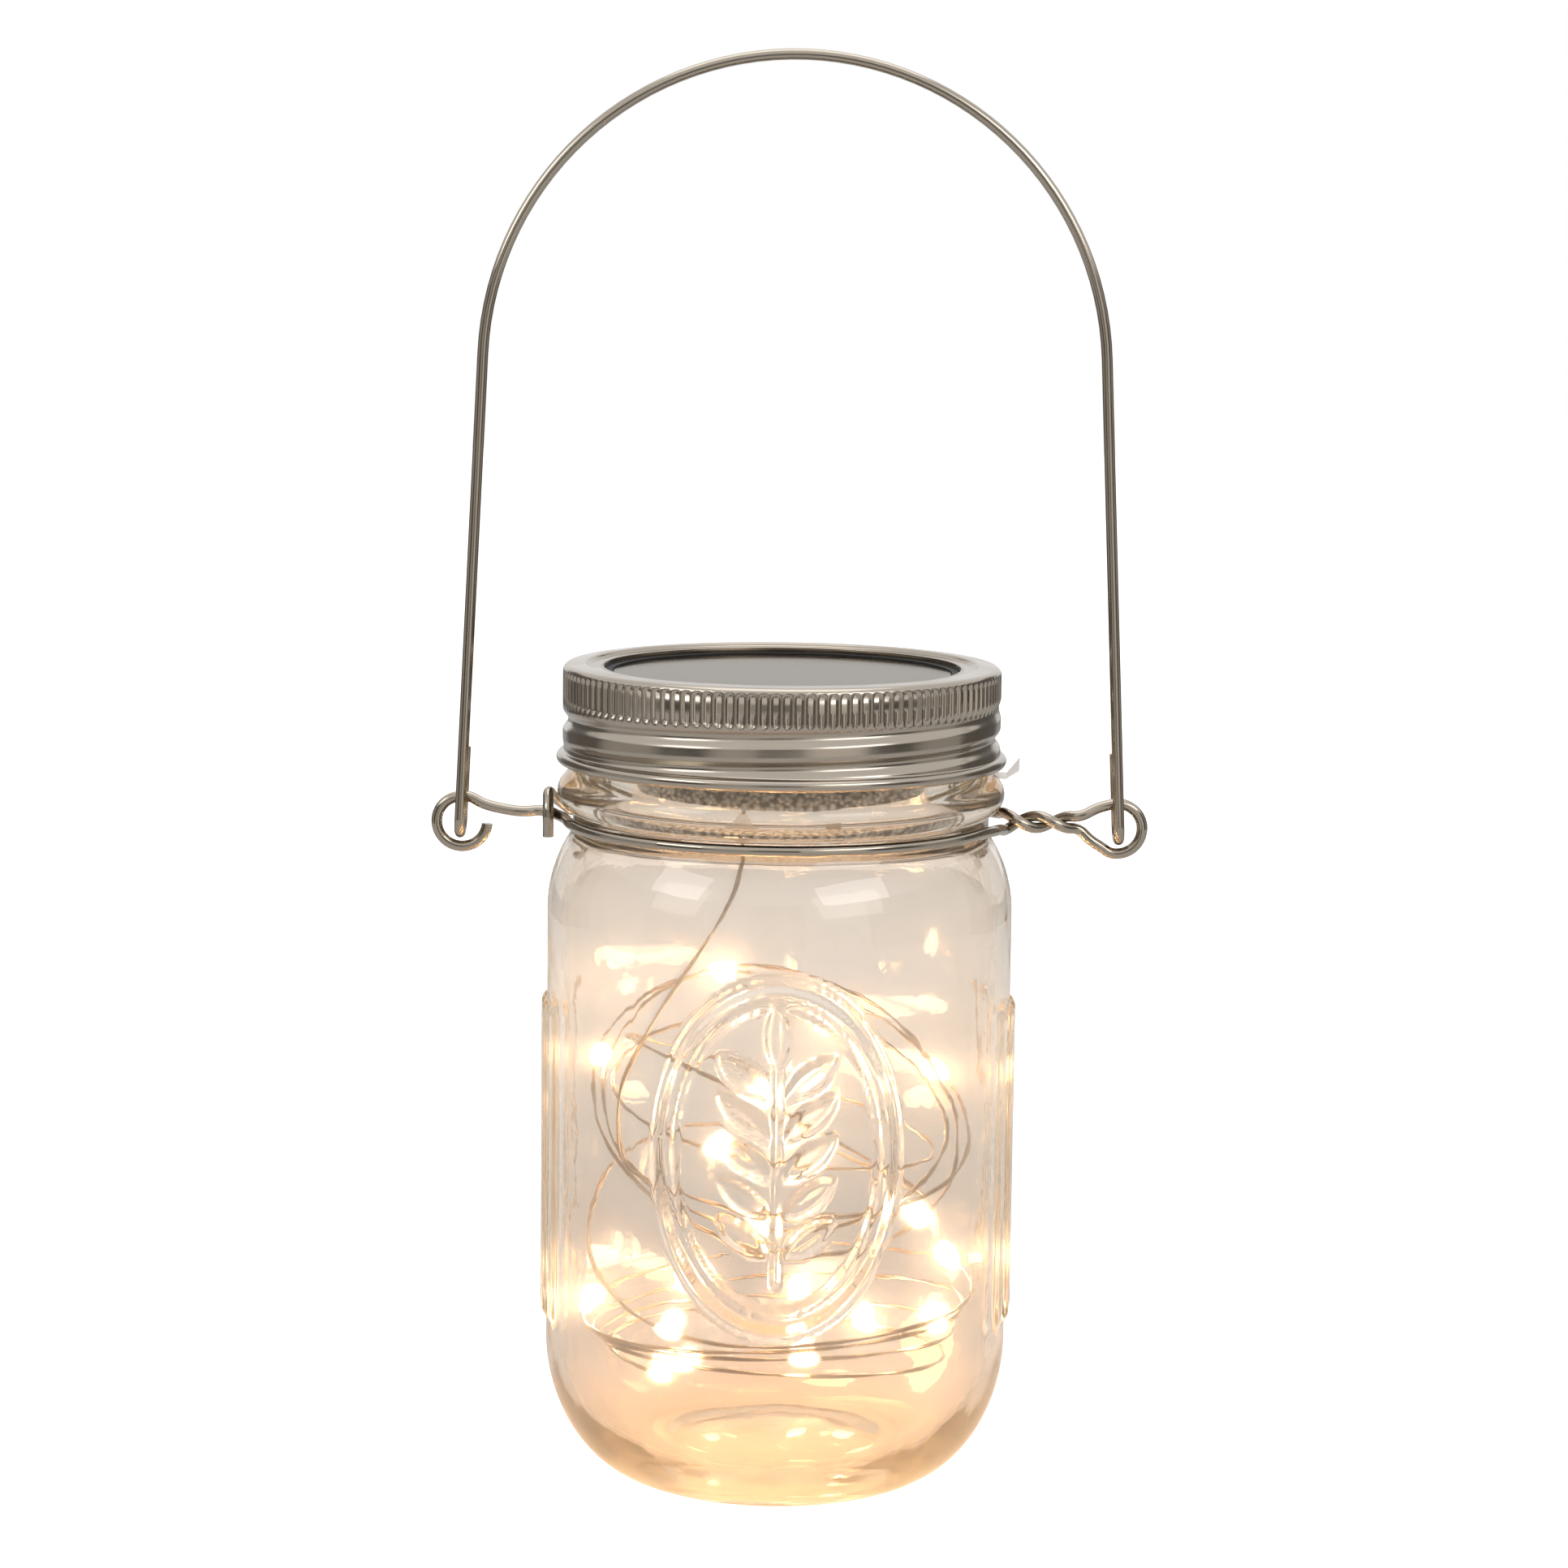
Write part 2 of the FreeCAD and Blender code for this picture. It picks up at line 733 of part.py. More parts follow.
def battery_cell_low_x():
    return -battery_length / 2 - terminal_length / 2


def switch_body():
    x, y = switch_place
    shell = block(x, y, switch_length, switch_width, base_high, base_high + switch_height)
    inside = block(x, y, switch_length - 2 * switch_shell, switch_width - 2 * switch_shell,
                   base_high - 1, base_high + switch_height - switch_shell)
    return shell.cut(inside)


def switch_slider():
    x, y = switch_place
    rest_x = x - slider_travel / 2
    stem = block(rest_x, y, slider_length, slider_width, base_low - slider_out, base_high + slider_width)
    shoe_low = base_high + slider_clearance
    shoe = block(rest_x, y, slider_length + 1.0, switch_width - 2 * switch_shell - 2 * slider_clearance,
                 shoe_low, shoe_low + 1.0)
    return stem.fuse(shoe).removeSplitter()


def wire_grommet():
    x, y = grommet_place
    low = base_low - grommet_flange
    nose = low - grommet_nose
    points = [at(0, nose), at(wire_radius * 1.6, nose), at(grommet_waist, low), at(grommet_radius, low),
              at(grommet_radius, base_low), at(grommet_waist, base_low), at(grommet_waist, base_high),
              at(grommet_radius, base_high), at(grommet_radius, base_high + grommet_flange),
              at(0, base_high + grommet_flange)]
    plug = turned(polygon(points))
    plug.translate(V(x, y, 0))
    return plug


def waves(turn, sizes):
    """Slow waves along the wire: each has a height, a count per turn and a phase."""
    return sum(height * math.sin(count * turn + phase) for height, count, phase in sizes)


def coil_point(turns):
    """The lights' loose loops: tall wavy ones spiral in, then low ones start again at the wall."""
    turn = 2 * math.pi * turns
    share = min(1, max(0, (turns - low_turn + settle_before) / settle_turns))
    low = share * share * (3 - 2 * share)
    tall_z = tall_middle + waves(turn, tall_waves)
    low_z = low_middle - low_fall * (turns - low_turn) + waves(turn, low_waves)
    tall_r = tall_radius - tall_step * turns
    low_r = low_radius - low_step * (turns - low_turn)
    radius = (1 - low) * tall_r + low * low_r
    azimuth = math.radians(coil_start_deg) + turn
    return V(radius * math.cos(azimuth), radius * math.sin(azimuth), (1 - low) * tall_z + low * low_z)


def coil_way(turns):
    step = 0.001
    return coil_point(turns + step) - coil_point(turns - step)


def drop_route():
    """From the grommet down the front of the jar into the first loop; points chosen by hand."""
    x, y = grommet_place
    nose = base_low - grommet_flange - grommet_nose
    start = coil_point(0)
    way = V(coil_way(0)).normalize()
    return [V(x, y, nose), V(x, y, nose - 6), V(x - 2.6, y - 2.8, nose - 13), V(x - 7.2, y - 5.6, nose - 20),
            V(x - 12.2, y - 6.6, nose - 27.5), V(x - 16.6, y - 5.4, nose - 36), V(x - 20, y - 2.6, nose - 44),
            start - way * 6, start]


def light_wire_drop():
    edges, radii = cord_edges(drop_route())
    wire = tube(edges, wire_radius, V(0, 0, -1))
    print("light_wire_drop radii", [round(r, 1) for r in radii])
    report_tube("light_wire_drop", wire, edges, wire_radius)
    return wire


def coil_edges():
    """The loops as biarcs, a quarter turn each."""
    places = [index / 4 for index in range(4 * coil_turns + 1)]
    return biarc_chain([coil_point(turns) for turns in places], [coil_way(turns) for turns in places])


def coil_samples(edges, step):
    """Points along the loops, each with its distance from the start and its direction."""
    samples = []
    run = 0.0
    for edge in edges:
        count = max(2, int(edge.Length / step))
        for index in range(count):
            along = edge.getParameterByLength(edge.Length * index / count)
            samples.append((run + edge.Length * index / count, edge.valueAt(along), edge.tangentAt(along)))
        run += edge.Length
    return samples


def nearest_other(samples, run, place, apart):
    """Distance from place to the nearest sample that is further along the wire than apart."""
    return min((point - place).Length for other, point, way in samples if abs(other - run) > apart)


def light_wire_coil(edges):
    wire = tube(edges, wire_radius, coil_way(0))
    report_tube("light_wire_coil", wire, edges, wire_radius)
    samples = coil_samples(edges, 1.5)
    gap = min(nearest_other(samples, run, place, 12) for run, place, way in samples[::2]) - 2 * wire_radius
    print("light_wire_coil least gap to itself", round(gap, 2))
    return wire


def led_beads(edges):
    """Resin drops along the wire, moved along it where a neighbouring loop is too near."""
    samples = coil_samples(edges, 1.0)
    length = samples[-1][0]
    clear = light_radius + wire_radius + light_clearance
    beads = []
    for index in range(light_count):
        nominal = length * (index + 1) / light_count
        near = sorted(samples, key=lambda sample: abs(sample[0] - nominal))[:70]
        for run, place, way in near:
            if nearest_other(samples, run, place, 12) > clear:
                beads.append(resin_drop(place, way))
                break
    print("led_beads", len(beads))
    return Part.makeCompound(beads)


def resin_drop(place, way):
    half = light_length / 2
    waist = wire_radius + 0.15
    edges = [line(at(0, -half), at(waist, -half)), arc(at(waist, -half), at(light_radius, 0), at(waist, half)),
             line(at(waist, half), at(0, half)), line(at(0, half), at(0, -half))]
    drop = turned(edges)
    drop.Placement = FreeCAD.Placement(place, FreeCAD.Rotation(UP, way))
    return drop


def main():
    coil = coil_edges()
    pieces = {
        "glass_jar": glass_jar(),
        "neck_wire": neck_wire(),
        "pull_tab": pull_tab(),
        "bail_handle": bail_handle(),
        "lid_band": lid_band(),
        "lid_gasket": lid_gasket(),
        "puck_housing": puck_housing(),
        "puck_base": puck_base(),
        "battery_door": battery_door(),
        "solar_cell": solar_cell(),
        "cell_busbars": cell_busbars(),
        "panel_cover": panel_cover(),
        "circuit_board": circuit_board(),
        "board_parts": board_parts(),
        "battery_cell": battery_cell(),
        "contact_plate": contact_plate(contact_face_x()),
        "spring_plate": contact_plate(spring_seat_x() - contact_thickness),
        "contact_spring": contact_spring(),
        "switch_body": switch_body(),
        "switch_slider": switch_slider(),
        "wire_grommet": wire_grommet(),
        "light_wire_drop": light_wire_drop(),
        "light_wire_coil": light_wire_coil(coil),
        "led_beads": led_beads(coil),
    }
    for index, (x, y) in enumerate(screw_places):
        pieces["base_screw_%d" % (index + 1)] = base_screw(x, y)
    for name, shape in pieces.items():
        shape.exportStep("parts/%s.step" % name)


main()
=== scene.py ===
# %% [markdown]
# A mason jar lantern: a pressed glass jar, a screw band over a solar lid, a wire handle, and a
# string of warm lights lying in loose loops inside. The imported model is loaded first. It fixes
# where every piece is, and the cells below dress it.

# %% Load the frame
import math
import bpy
import numpy as np
from mathutils import Matrix, Vector


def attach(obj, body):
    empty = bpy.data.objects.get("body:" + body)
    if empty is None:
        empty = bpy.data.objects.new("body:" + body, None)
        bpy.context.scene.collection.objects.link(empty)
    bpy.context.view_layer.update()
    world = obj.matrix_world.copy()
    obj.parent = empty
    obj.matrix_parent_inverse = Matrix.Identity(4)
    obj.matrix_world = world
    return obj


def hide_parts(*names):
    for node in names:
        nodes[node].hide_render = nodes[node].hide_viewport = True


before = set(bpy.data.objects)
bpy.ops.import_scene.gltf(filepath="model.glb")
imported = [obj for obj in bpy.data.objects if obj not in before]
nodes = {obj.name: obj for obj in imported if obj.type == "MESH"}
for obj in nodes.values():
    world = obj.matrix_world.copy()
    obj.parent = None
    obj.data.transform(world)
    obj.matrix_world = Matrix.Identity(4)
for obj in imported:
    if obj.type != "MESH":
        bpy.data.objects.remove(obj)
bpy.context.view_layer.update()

MM = 0.001

# %% [markdown]
# Every new piece is a grid of points worked out with numpy. Modifiers could turn or sweep an outline
# too, but a formula keeps each millimetre in sight and can add ribs and threads to a wall. Rows follow
# the piece's outline and columns go round it. A closed outline joins its last row to its first, and an
# open one is closed on the axis with a fan of triangles at each end.

# %% From a grid of points to a mesh
def mesh_object(name, points, faces, material, smooth=True):
    """A mesh object at the origin from points in metres and faces as index lists."""
    mesh = bpy.data.meshes.new(name)
    mesh.from_pydata(points, [], faces)
    mesh.validate()
    mesh.polygons.foreach_set("use_smooth", np.full(len(mesh.polygons), smooth))
    mesh.materials.append(material)
    mesh.update()
    piece = bpy.data.objects.new(name, mesh)
    bpy.context.scene.collection.objects.link(piece)
    return piece


def grid_faces(rows, columns, rows_closed):
    """Quads of a grid whose columns close on themselves; row r, column c is point r*columns + c."""
    last = rows if rows_closed else rows - 1
    r, c = np.meshgrid(np.arange(last), np.arange(columns), indexing="ij")
    r_next = (r + 1) % rows
    c_next = (c + 1) % columns
    quads = np.stack([r * columns + c, r * columns + c_next,
                      r_next * columns + c_next, r_next * columns + c], axis=-1)
    return quads.reshape(-1, 4)


def turned_piece(name, radius, height, angle, material, poles=None):
    """Point = (radius cos angle, radius sin angle, height), all in millimetres and whole arrays.

    With poles, two points on the axis at those heights close the first and the last row.
    """
    grid = np.stack([radius * np.cos(angle), radius * np.sin(angle), height], axis=-1)
    rows, columns = radius.shape
    points = grid.reshape(-1, 3) * MM
    faces = grid_faces(rows, columns, poles is None).tolist()
    if poles is not None:
        ends = np.array([[0, 0, poles[0]], [0, 0, poles[1]]]) * MM
        points = np.concatenate([points, ends])
        c = np.arange(columns)
        c_next = (c + 1) % columns
        count = rows * columns
        top = (rows - 1) * columns
        faces += np.stack([c_next, c, np.full(columns, count)], axis=-1).tolist()
        faces += np.stack([top + c, top + c_next, np.full(columns, count + 1)], axis=-1).tolist()
    piece = mesh_object(name, points, faces, material)
    print(name, "points", len(points), "faces", len(faces))
    return piece


# %% [markdown]
# Colours are written as sRGB hex, the way a paint chart gives them, and turned to the linear values
# that a shader mixes in. One helper adds a node with its settings and links.

# %% Colours and nodes
def linear(hex_code):
    """sRGB hex to linear RGBA: c/12.92 below 0.04045, else ((c + 0.055)/1.055) to the power 2.4."""
    srgb = np.array([int(hex_code[i:i + 2], 16) for i in (1, 3, 5)]) / 255
    low = srgb / 12.92
    high = ((srgb + 0.055) / 1.055) ** 2.4
    return (*np.where(srgb <= 0.04045, low, high).tolist(), 1.0)


def add(tree, kind, settings=None, **inputs):
    """Adds a node; settings are its properties, inputs its sockets as values or links.

    A socket goes by its name, with _ for a space, or by its number as i0, i1 or i2.
    """
    node = tree.nodes.new(kind)
    for key, value in (settings or {}).items():
        setattr(node, key, value)
    for key, value in inputs.items():
        by_number = key[0] == "i" and key[1:].isdigit()
        socket = node.inputs[int(key[1:]) if by_number else key.replace("_", " ")]
        if isinstance(value, bpy.types.NodeSocket):
            tree.links.new(value, socket)
        else:
            socket.default_value = value
    return node


def new_material(name):
    """A material with no nodes yet, and its node tree."""
    material = bpy.data.materials.new(name)
    material.use_nodes = True
    material.node_tree.nodes.clear()
    return material, material.node_tree


# %% [markdown]
# Pressed soda-lime glass: clear face on, and olive where a long stretch of it is seen edge on, so the
# tint is an absorption that grows with the path through the wall. The mould leaves slow waves, and a
# little of the light scatters, which puts a soft halo round each lamp behind it. Light has to get in
# and out, so shadow rays and bounced light pass straight through, as they nearly do in life.

# %% Pressed glass
GLASS_FACE, GLASS_DEPTH, GLASS_IOR = "#FAF4EE", "#F3F0E8", 1.5
WAVE_MM, WAVE_DEEP = 14.0, 0.8
RIPPLE_MM, RIPPLE_DEEP = 3.5, 0.1
HAZE_SHARE, HAZE_ROUGH = 0.12, 0.3
ABSORB_PER_M = 100.0


def pressed_glass():
    """A polished glass and a hazy one, mixed by a fixed share; rays of bounced light see neither."""
    material, tree = new_material("pressed_soda_lime_glass")
    place = add(tree, "ShaderNodeTexCoord").outputs["Object"]
    wave = add(tree, "ShaderNodeTexNoise", Vector=place, Scale=1 / (WAVE_MM * MM), Detail=1.0)
    ripple = add(tree, "ShaderNodeTexNoise", Vector=place, Scale=1 / (RIPPLE_MM * MM), Detail=2.0)
    bump = add(tree, "ShaderNodeBump", Height=wave.outputs["Fac"], Strength=0.3, Distance=WAVE_DEEP * MM)
    bump = add(tree, "ShaderNodeBump", Height=ripple.outputs["Fac"], Strength=0.2,
               Distance=RIPPLE_DEEP * MM, Normal=bump.outputs["Normal"])
    polished, hazy = [
        add(tree, "ShaderNodeBsdfPrincipled", Base_Color=linear(GLASS_FACE), Roughness=rough,
            IOR=GLASS_IOR, Transmission_Weight=1.0, Normal=bump.outputs["Normal"])
        for rough in (0.0, HAZE_ROUGH)]
    glass = add(tree, "ShaderNodeMixShader", i0=HAZE_SHARE, i1=polished.outputs["BSDF"],
                i2=hazy.outputs["BSDF"])
    clear = add(tree, "ShaderNodeBsdfTransparent", Color=linear(GLASS_FACE))
    rays = add(tree, "ShaderNodeLightPath")
    passing = add(tree, "ShaderNodeMath", {"operation": "MAXIMUM"}, i0=rays.outputs["Is Shadow Ray"],
                  i1=rays.outputs["Is Diffuse Ray"])
    mix = add(tree, "ShaderNodeMixShader", i0=passing.outputs["Value"],
              i1=glass.outputs["Shader"], i2=clear.outputs["BSDF"])
    depth = add(tree, "ShaderNodeVolumeAbsorption", Color=linear(GLASS_DEPTH), Density=ABSORB_PER_M)
    add(tree, "ShaderNodeOutputMaterial", Surface=mix.outputs["Shader"], Volume=depth.outputs["Volume"])
    return material


jar_glass = pressed_glass()
print("glass", jar_glass.name)

# %% [markdown]
# The jar's wall is one outline carried round the axis: under the base, up the heel, body, shoulder,
# neck and lip, then down the inside. It is put together from straight stretches and curves, each a
# short function that gives the points after its start, so the next stretch can begin where it ends.

# %% Stretches of an outline
def bend(start, middle, end, count):
    """A quadratic curve through start and end that leans to middle, without its first point."""
    t = np.linspace(0, 1, count + 1)[1:, None]
    return (1 - t) ** 2 * np.array(start) + 2 * t * (1 - t) * np.array(middle) + t ** 2 * np.array(end)


def straight(start, end, count):
    """Even steps from start to end, start (1 - t) + end t, without the first point."""
    t = np.linspace(0, 1, count + 1)[1:, None]
    return np.array(start) * (1 - t) + np.array(end) * t


def quarter(start, end, count, power=2.0):
    """A superellipse quarter: leaves start level and reaches end upright."""
    phi = np.linspace(0, np.pi / 2, count + 1)[1:]
    r = start[0] + (end[0] - start[0]) * np.sin(phi) ** (2 / power)
    z = start[1] + (end[1] - start[1]) * (1 - np.cos(phi) ** (2 / power))
    return np.stack([r, z], axis=-1)


def arc_to(start, end, centre, count):
    """A circular arc about centre from start to end, without its first point."""
    a = math.atan2(start[1] - centre[1], start[0] - centre[0])
    b = math.atan2(end[1] - centre[1], end[0] - centre[0])
    t = np.linspace(a, b, count + 1)[1:]
    size = math.hypot(start[0] - centre[0], start[1] - centre[1])
    return np.stack([centre[0] + size * np.cos(t), centre[1] + size * np.sin(t)], axis=-1)


def shoulder_arc(radius, top_r, low, top, count):
    """The shoulder's arc: upright at low, through (top_r, top); its radius follows from the two."""
    inset = radius - top_r
    size = ((top - low) ** 2 + inset ** 2) / (2 * inset)
    return arc_to((radius, low), (top_r, top), (radius - size, low), count)


# %% [markdown]
# The sizes follow the photograph, with a body as wide as a regular-mouth pint jar's. The bead under the
# band has a round face and a long slope on top. That slope works as a lens, through which the pebbled
# side of the insert is seen.

# %% The jar's outline
BODY_R, HEEL_Z, HEEL_POWER = 39.5, 23.9, 1.95
BASE_R, RING_R, PUSH_UP, AXIS_R = 22.1, 18.1, 3.0, 2.0
RING_LIFT, RING_ROUND, RING_FLAT, DOME_SHARE = 0.3, 0.6, 1.4, 0.7
SHOULDER_Z, SHOULDER_TOP, COLLAR_R = 98.0, 110.2, 36.0
NECK_R, NECK_TURN_Z, NECK_Z = 35.3, 111.3, 112.4
BEAD_LOW, BEAD_HIGH, BEAD_R, BEAD_LEAN = 114.9, 121.3, 37.9, 42.0
FINISH_R, LIP_Z, LIP_ROUND, BORE_R, WALL = 34.5, 136.2, 1.2, 30.6, 2.6
FLOOR_Z, FLOOR_R, THROAT_RISE = 4.6, 20.1, 1.6


def bead_bulge(arc_rows, slope_rows):
    """The bead under the band: a round arc, then a slope tangent to it that runs in to the finish."""
    half = (BEAD_HIGH - BEAD_LOW) / 2
    out = BEAD_R - NECK_R
    size = (half ** 2 + out ** 2) / (2 * out)
    centre = (BEAD_R - size, BEAD_LOW + half)
    lean = math.radians(BEAD_LEAN)
    crest = (centre[0] + size * math.cos(lean), centre[1] + size * math.sin(lean))
    foot = (FINISH_R, crest[1] + (crest[0] - FINISH_R) / math.tan(lean))
    arc = arc_to((NECK_R, BEAD_LOW), crest, centre, arc_rows)
    return np.concatenate([arc, straight(crest, foot, slope_rows)])


bead_line = bead_bulge(12, 6)
inner_r = BODY_R - WALL
throat_z = SHOULDER_TOP + THROAT_RISE
dome_z = FLOOR_Z + PUSH_UP / 2
lip_low = LIP_Z - LIP_ROUND
outer_line = np.concatenate([
    bend((AXIS_R, PUSH_UP), (RING_R * DOME_SHARE, PUSH_UP), (RING_R, RING_LIFT), 7),
    bend((RING_R, RING_LIFT), (RING_R + RING_ROUND, 0), (RING_R + RING_FLAT, 0), 3),
    straight((RING_R + RING_FLAT, 0), (BASE_R, 0), 2),
    quarter((BASE_R, 0), (BODY_R, HEEL_Z), 26, HEEL_POWER),
    straight((BODY_R, HEEL_Z), (BODY_R, SHOULDER_Z), 92),
    shoulder_arc(BODY_R, COLLAR_R, SHOULDER_Z, SHOULDER_TOP, 14),
    bend((COLLAR_R, SHOULDER_TOP), (NECK_R, NECK_TURN_Z), (NECK_R, NECK_Z), 4),
    straight((NECK_R, NECK_Z), (NECK_R, BEAD_LOW), 3),
    bead_line,
    straight(bead_line[-1], (FINISH_R, lip_low), 24),
    arc_to((FINISH_R, lip_low), (FINISH_R - LIP_ROUND, LIP_Z), (FINISH_R - LIP_ROUND, lip_low), 5),
])
inner_up = np.concatenate([
    bend((AXIS_R, dome_z), (FLOOR_R / 2, dome_z), (FLOOR_R, FLOOR_Z), 9),
    quarter((FLOOR_R, FLOOR_Z), (inner_r, HEEL_Z), 22),
    straight((inner_r, HEEL_Z), (inner_r, SHOULDER_Z), 30),
    shoulder_arc(inner_r, BORE_R, SHOULDER_Z, throat_z, 14),
    straight((BORE_R, throat_z), (BORE_R, lip_low), 8),
    arc_to((BORE_R, lip_low), (BORE_R + LIP_ROUND, LIP_Z), (BORE_R + LIP_ROUND, lip_low), 5),
])
jar_line = np.concatenate([outer_line, inner_up[::-1]])
print("jar outline", len(outer_line), "rows outside,", len(inner_up), "inside")

# %% [markdown]
# Pressed glass carries its detail in the wall. Bump in the material could fake it, but only a real
# height bends the light, so ribs and screw thread are heights added to the radius. Columns are close
# together where there is detail: the design in front (-Y) and the ribs at +X and -X.

# %% Ribs and screw thread
JAR_COLUMNS = [(-128, -52, 116), (-52, -26, 9), (-26, 26, 74), (26, 154, 36), (154, 206, 74), (206, 232, 9)]
FLUTES, FLUTE_STEP, FLUTE_LOW, FLUTE_HIGH = 5, 9.2, 27.0, 84.0
FLUTE_ROUND, FLUTE_PROUD = 2.6, 1.0
THREAD_PITCH, THREAD_TURNS, THREAD_FADE = 5.08, 1.6, 0.06
THREAD_ROUND, THREAD_PROUD, THREAD_RISE = 1.5, 1.3, 3.9
THREAD_Z = BEAD_HIGH + THREAD_RISE

jar_angle = np.radians(np.concatenate([np.linspace(*part, endpoint=False) for part in JAR_COLUMNS]))


def flute_height(angle, z):
    """Upright ribs with round ends: a ball of radius FLUTE_ROUND slid along z, sunk in the wall."""
    rise = np.zeros(np.broadcast(angle, z).shape)
    end = np.maximum(0, np.maximum(z - (FLUTE_HIGH - FLUTE_ROUND), (FLUTE_LOW + FLUTE_ROUND) - z))
    for side in (0.0, 180.0):
        for index in range(FLUTES):
            middle = math.radians(side + (index - (FLUTES - 1) / 2) * FLUTE_STEP)
            turn = (angle - middle + np.pi) % (2 * np.pi) - np.pi
            across = BODY_R * turn
            ball = np.sqrt(np.maximum(0, FLUTE_ROUND ** 2 - across ** 2 - end ** 2))
            rise = np.maximum(rise, ball - (FLUTE_ROUND - FLUTE_PROUD))
    return rise


def thread_height(angle, z):
    """The screw bead: round in section, rising one pitch a turn, fading in and out at its ends."""
    turn = (angle % (2 * np.pi)) / (2 * np.pi)
    rise = np.zeros(np.broadcast(angle, z).shape)
    for lap in range(math.ceil(THREAD_TURNS)):
        along = turn + lap
        fade = np.clip(np.minimum(along, THREAD_TURNS - along) / THREAD_FADE, 0, 1)
        away = z - (THREAD_Z + THREAD_PITCH * along)
        bar = np.sqrt(np.maximum(0, THREAD_ROUND ** 2 - away ** 2)) - (THREAD_ROUND - THREAD_PROUD)
        rise = np.maximum(rise, bar * fade)
    return rise


print("ribs", 2 * FLUTES, "thread turns", THREAD_TURNS, "columns", len(jar_angle))

# %% [markdown]
# The front has a plain raised ornament: two ovals, one inside the other, round a sprig of leaves. It
# is drawn flat, in millimetres across and up the wall, and then added to the radius as the ribs are.

# %% The raised design
OVAL_Z, OVAL_WIDE, OVAL_TALL, LINE_HALF = 63.0, 20.5, 29.0, 1.0
OVAL_GAP, INNER_HALF = 3.4, 0.6
STEM_HALF, STEM_REACH, STEM_DOWN = 0.7, 19.0, 2.0
LEAF_LONG, LEAF_WIDE, CREASE_DEEP, CREASE_WIDE = 5.6, 2.3, 0.35, 0.45
LEAF_PAIRS, LEAF_LOW, LEAF_STEP, LEAF_OUT, LEAF_SPREAD = 5, -13.0, 6.6, 5.4, 52.0
TIP_UP = 20.5
DESIGN_PROUD = 0.8
TINY = 1e-6


def leaf(across, up, middle_across, middle_up, lean):
    """A pillow between two arcs, with a crease along the middle: 1 on its ridge, 0 at its edge."""
    p = (across - middle_across) * np.cos(lean) + (up - middle_up) * np.sin(lean)
    q = -(across - middle_across) * np.sin(lean) + (up - middle_up) * np.cos(lean)
    half = LEAF_WIDE * np.maximum(TINY, 1 - (p / LEAF_LONG) ** 2)
    dome = np.sqrt(np.maximum(0, 1 - (q / half) ** 2))
    crease = 1 - CREASE_DEEP * np.exp(-(q / CREASE_WIDE) ** 2)
    return np.where(np.abs(p) < LEAF_LONG, dome * crease, 0)


def oval_away(across, up, wide, tall):
    """Distance from an oval, nearly: (size - 1) wide tall / length of (tall cos t, wide sin t)."""
    x = across / wide
    y = up / tall
    t = np.arctan2(y, x)
    return (np.hypot(x, y) - 1) * wide * tall / np.hypot(tall * np.cos(t), wide * np.sin(t))


def design_height(angle, z):
    """The highest of two round lines along the ovals, a round stem, paired leaves and one on top."""
    across = BODY_R * (angle + np.pi / 2)
    up = z - OVAL_Z
    rise = np.zeros(np.broadcast(across, up).shape)
    for inset, half in ((0, LINE_HALF), (OVAL_GAP, INNER_HALF)):
        away = oval_away(across, up, OVAL_WIDE - inset, OVAL_TALL - inset)
        rise = np.maximum(rise, np.sqrt(np.maximum(0, 1 - (away / half) ** 2)) * half)
    stem = np.sqrt(np.maximum(0, 1 - (across / STEM_HALF) ** 2)) * (np.abs(up + STEM_DOWN) < STEM_REACH)
    rise = np.maximum(rise, STEM_HALF * stem)
    for pair in range(LEAF_PAIRS):
        for side in (-1, 1):
            lean = math.radians(90 - side * LEAF_SPREAD)
            rise = np.maximum(rise, leaf(across, up, side * LEAF_OUT, LEAF_LOW + LEAF_STEP * pair, lean))
    rise = np.maximum(rise, leaf(across, up, 0, TIP_UP, math.radians(90)))
    return DESIGN_PROUD * rise


print("design", 2 * LEAF_PAIRS + 1, "leaves, proud by", DESIGN_PROUD, "mm")

# %% [markdown]
# Now outline and heights come together in one grid. The inside of the wall wanders by a fifth of a
# millimetre, as the plunger leaves it, which makes the lights behind it swim a little.

# %% The jar
WAVE_FADE = 18.0
MOULD_WAVES = [(0.12, 3, 21.0, 0.0), (0.1, 5, -13.0, 1.3)]
FINISH_LOW = BEAD_HIGH + 0.4
SLACK = 0.1


def ease(share):
    """A smooth step from 0 to 1: 3 s squared - 2 s cubed."""
    return share * share * (3 - 2 * share)


def mould_wave(angle, z):
    """Waves high * sin(laps * angle + z / rise + start), dying out towards heel and shoulder."""
    fade = np.clip(np.minimum(z - HEEL_Z, SHOULDER_Z - z) / WAVE_FADE, 0, 1)
    waves = [high * np.sin(laps * angle + z / rise + start) for high, laps, rise, start in MOULD_WAVES]
    return ease(fade) * sum(waves)


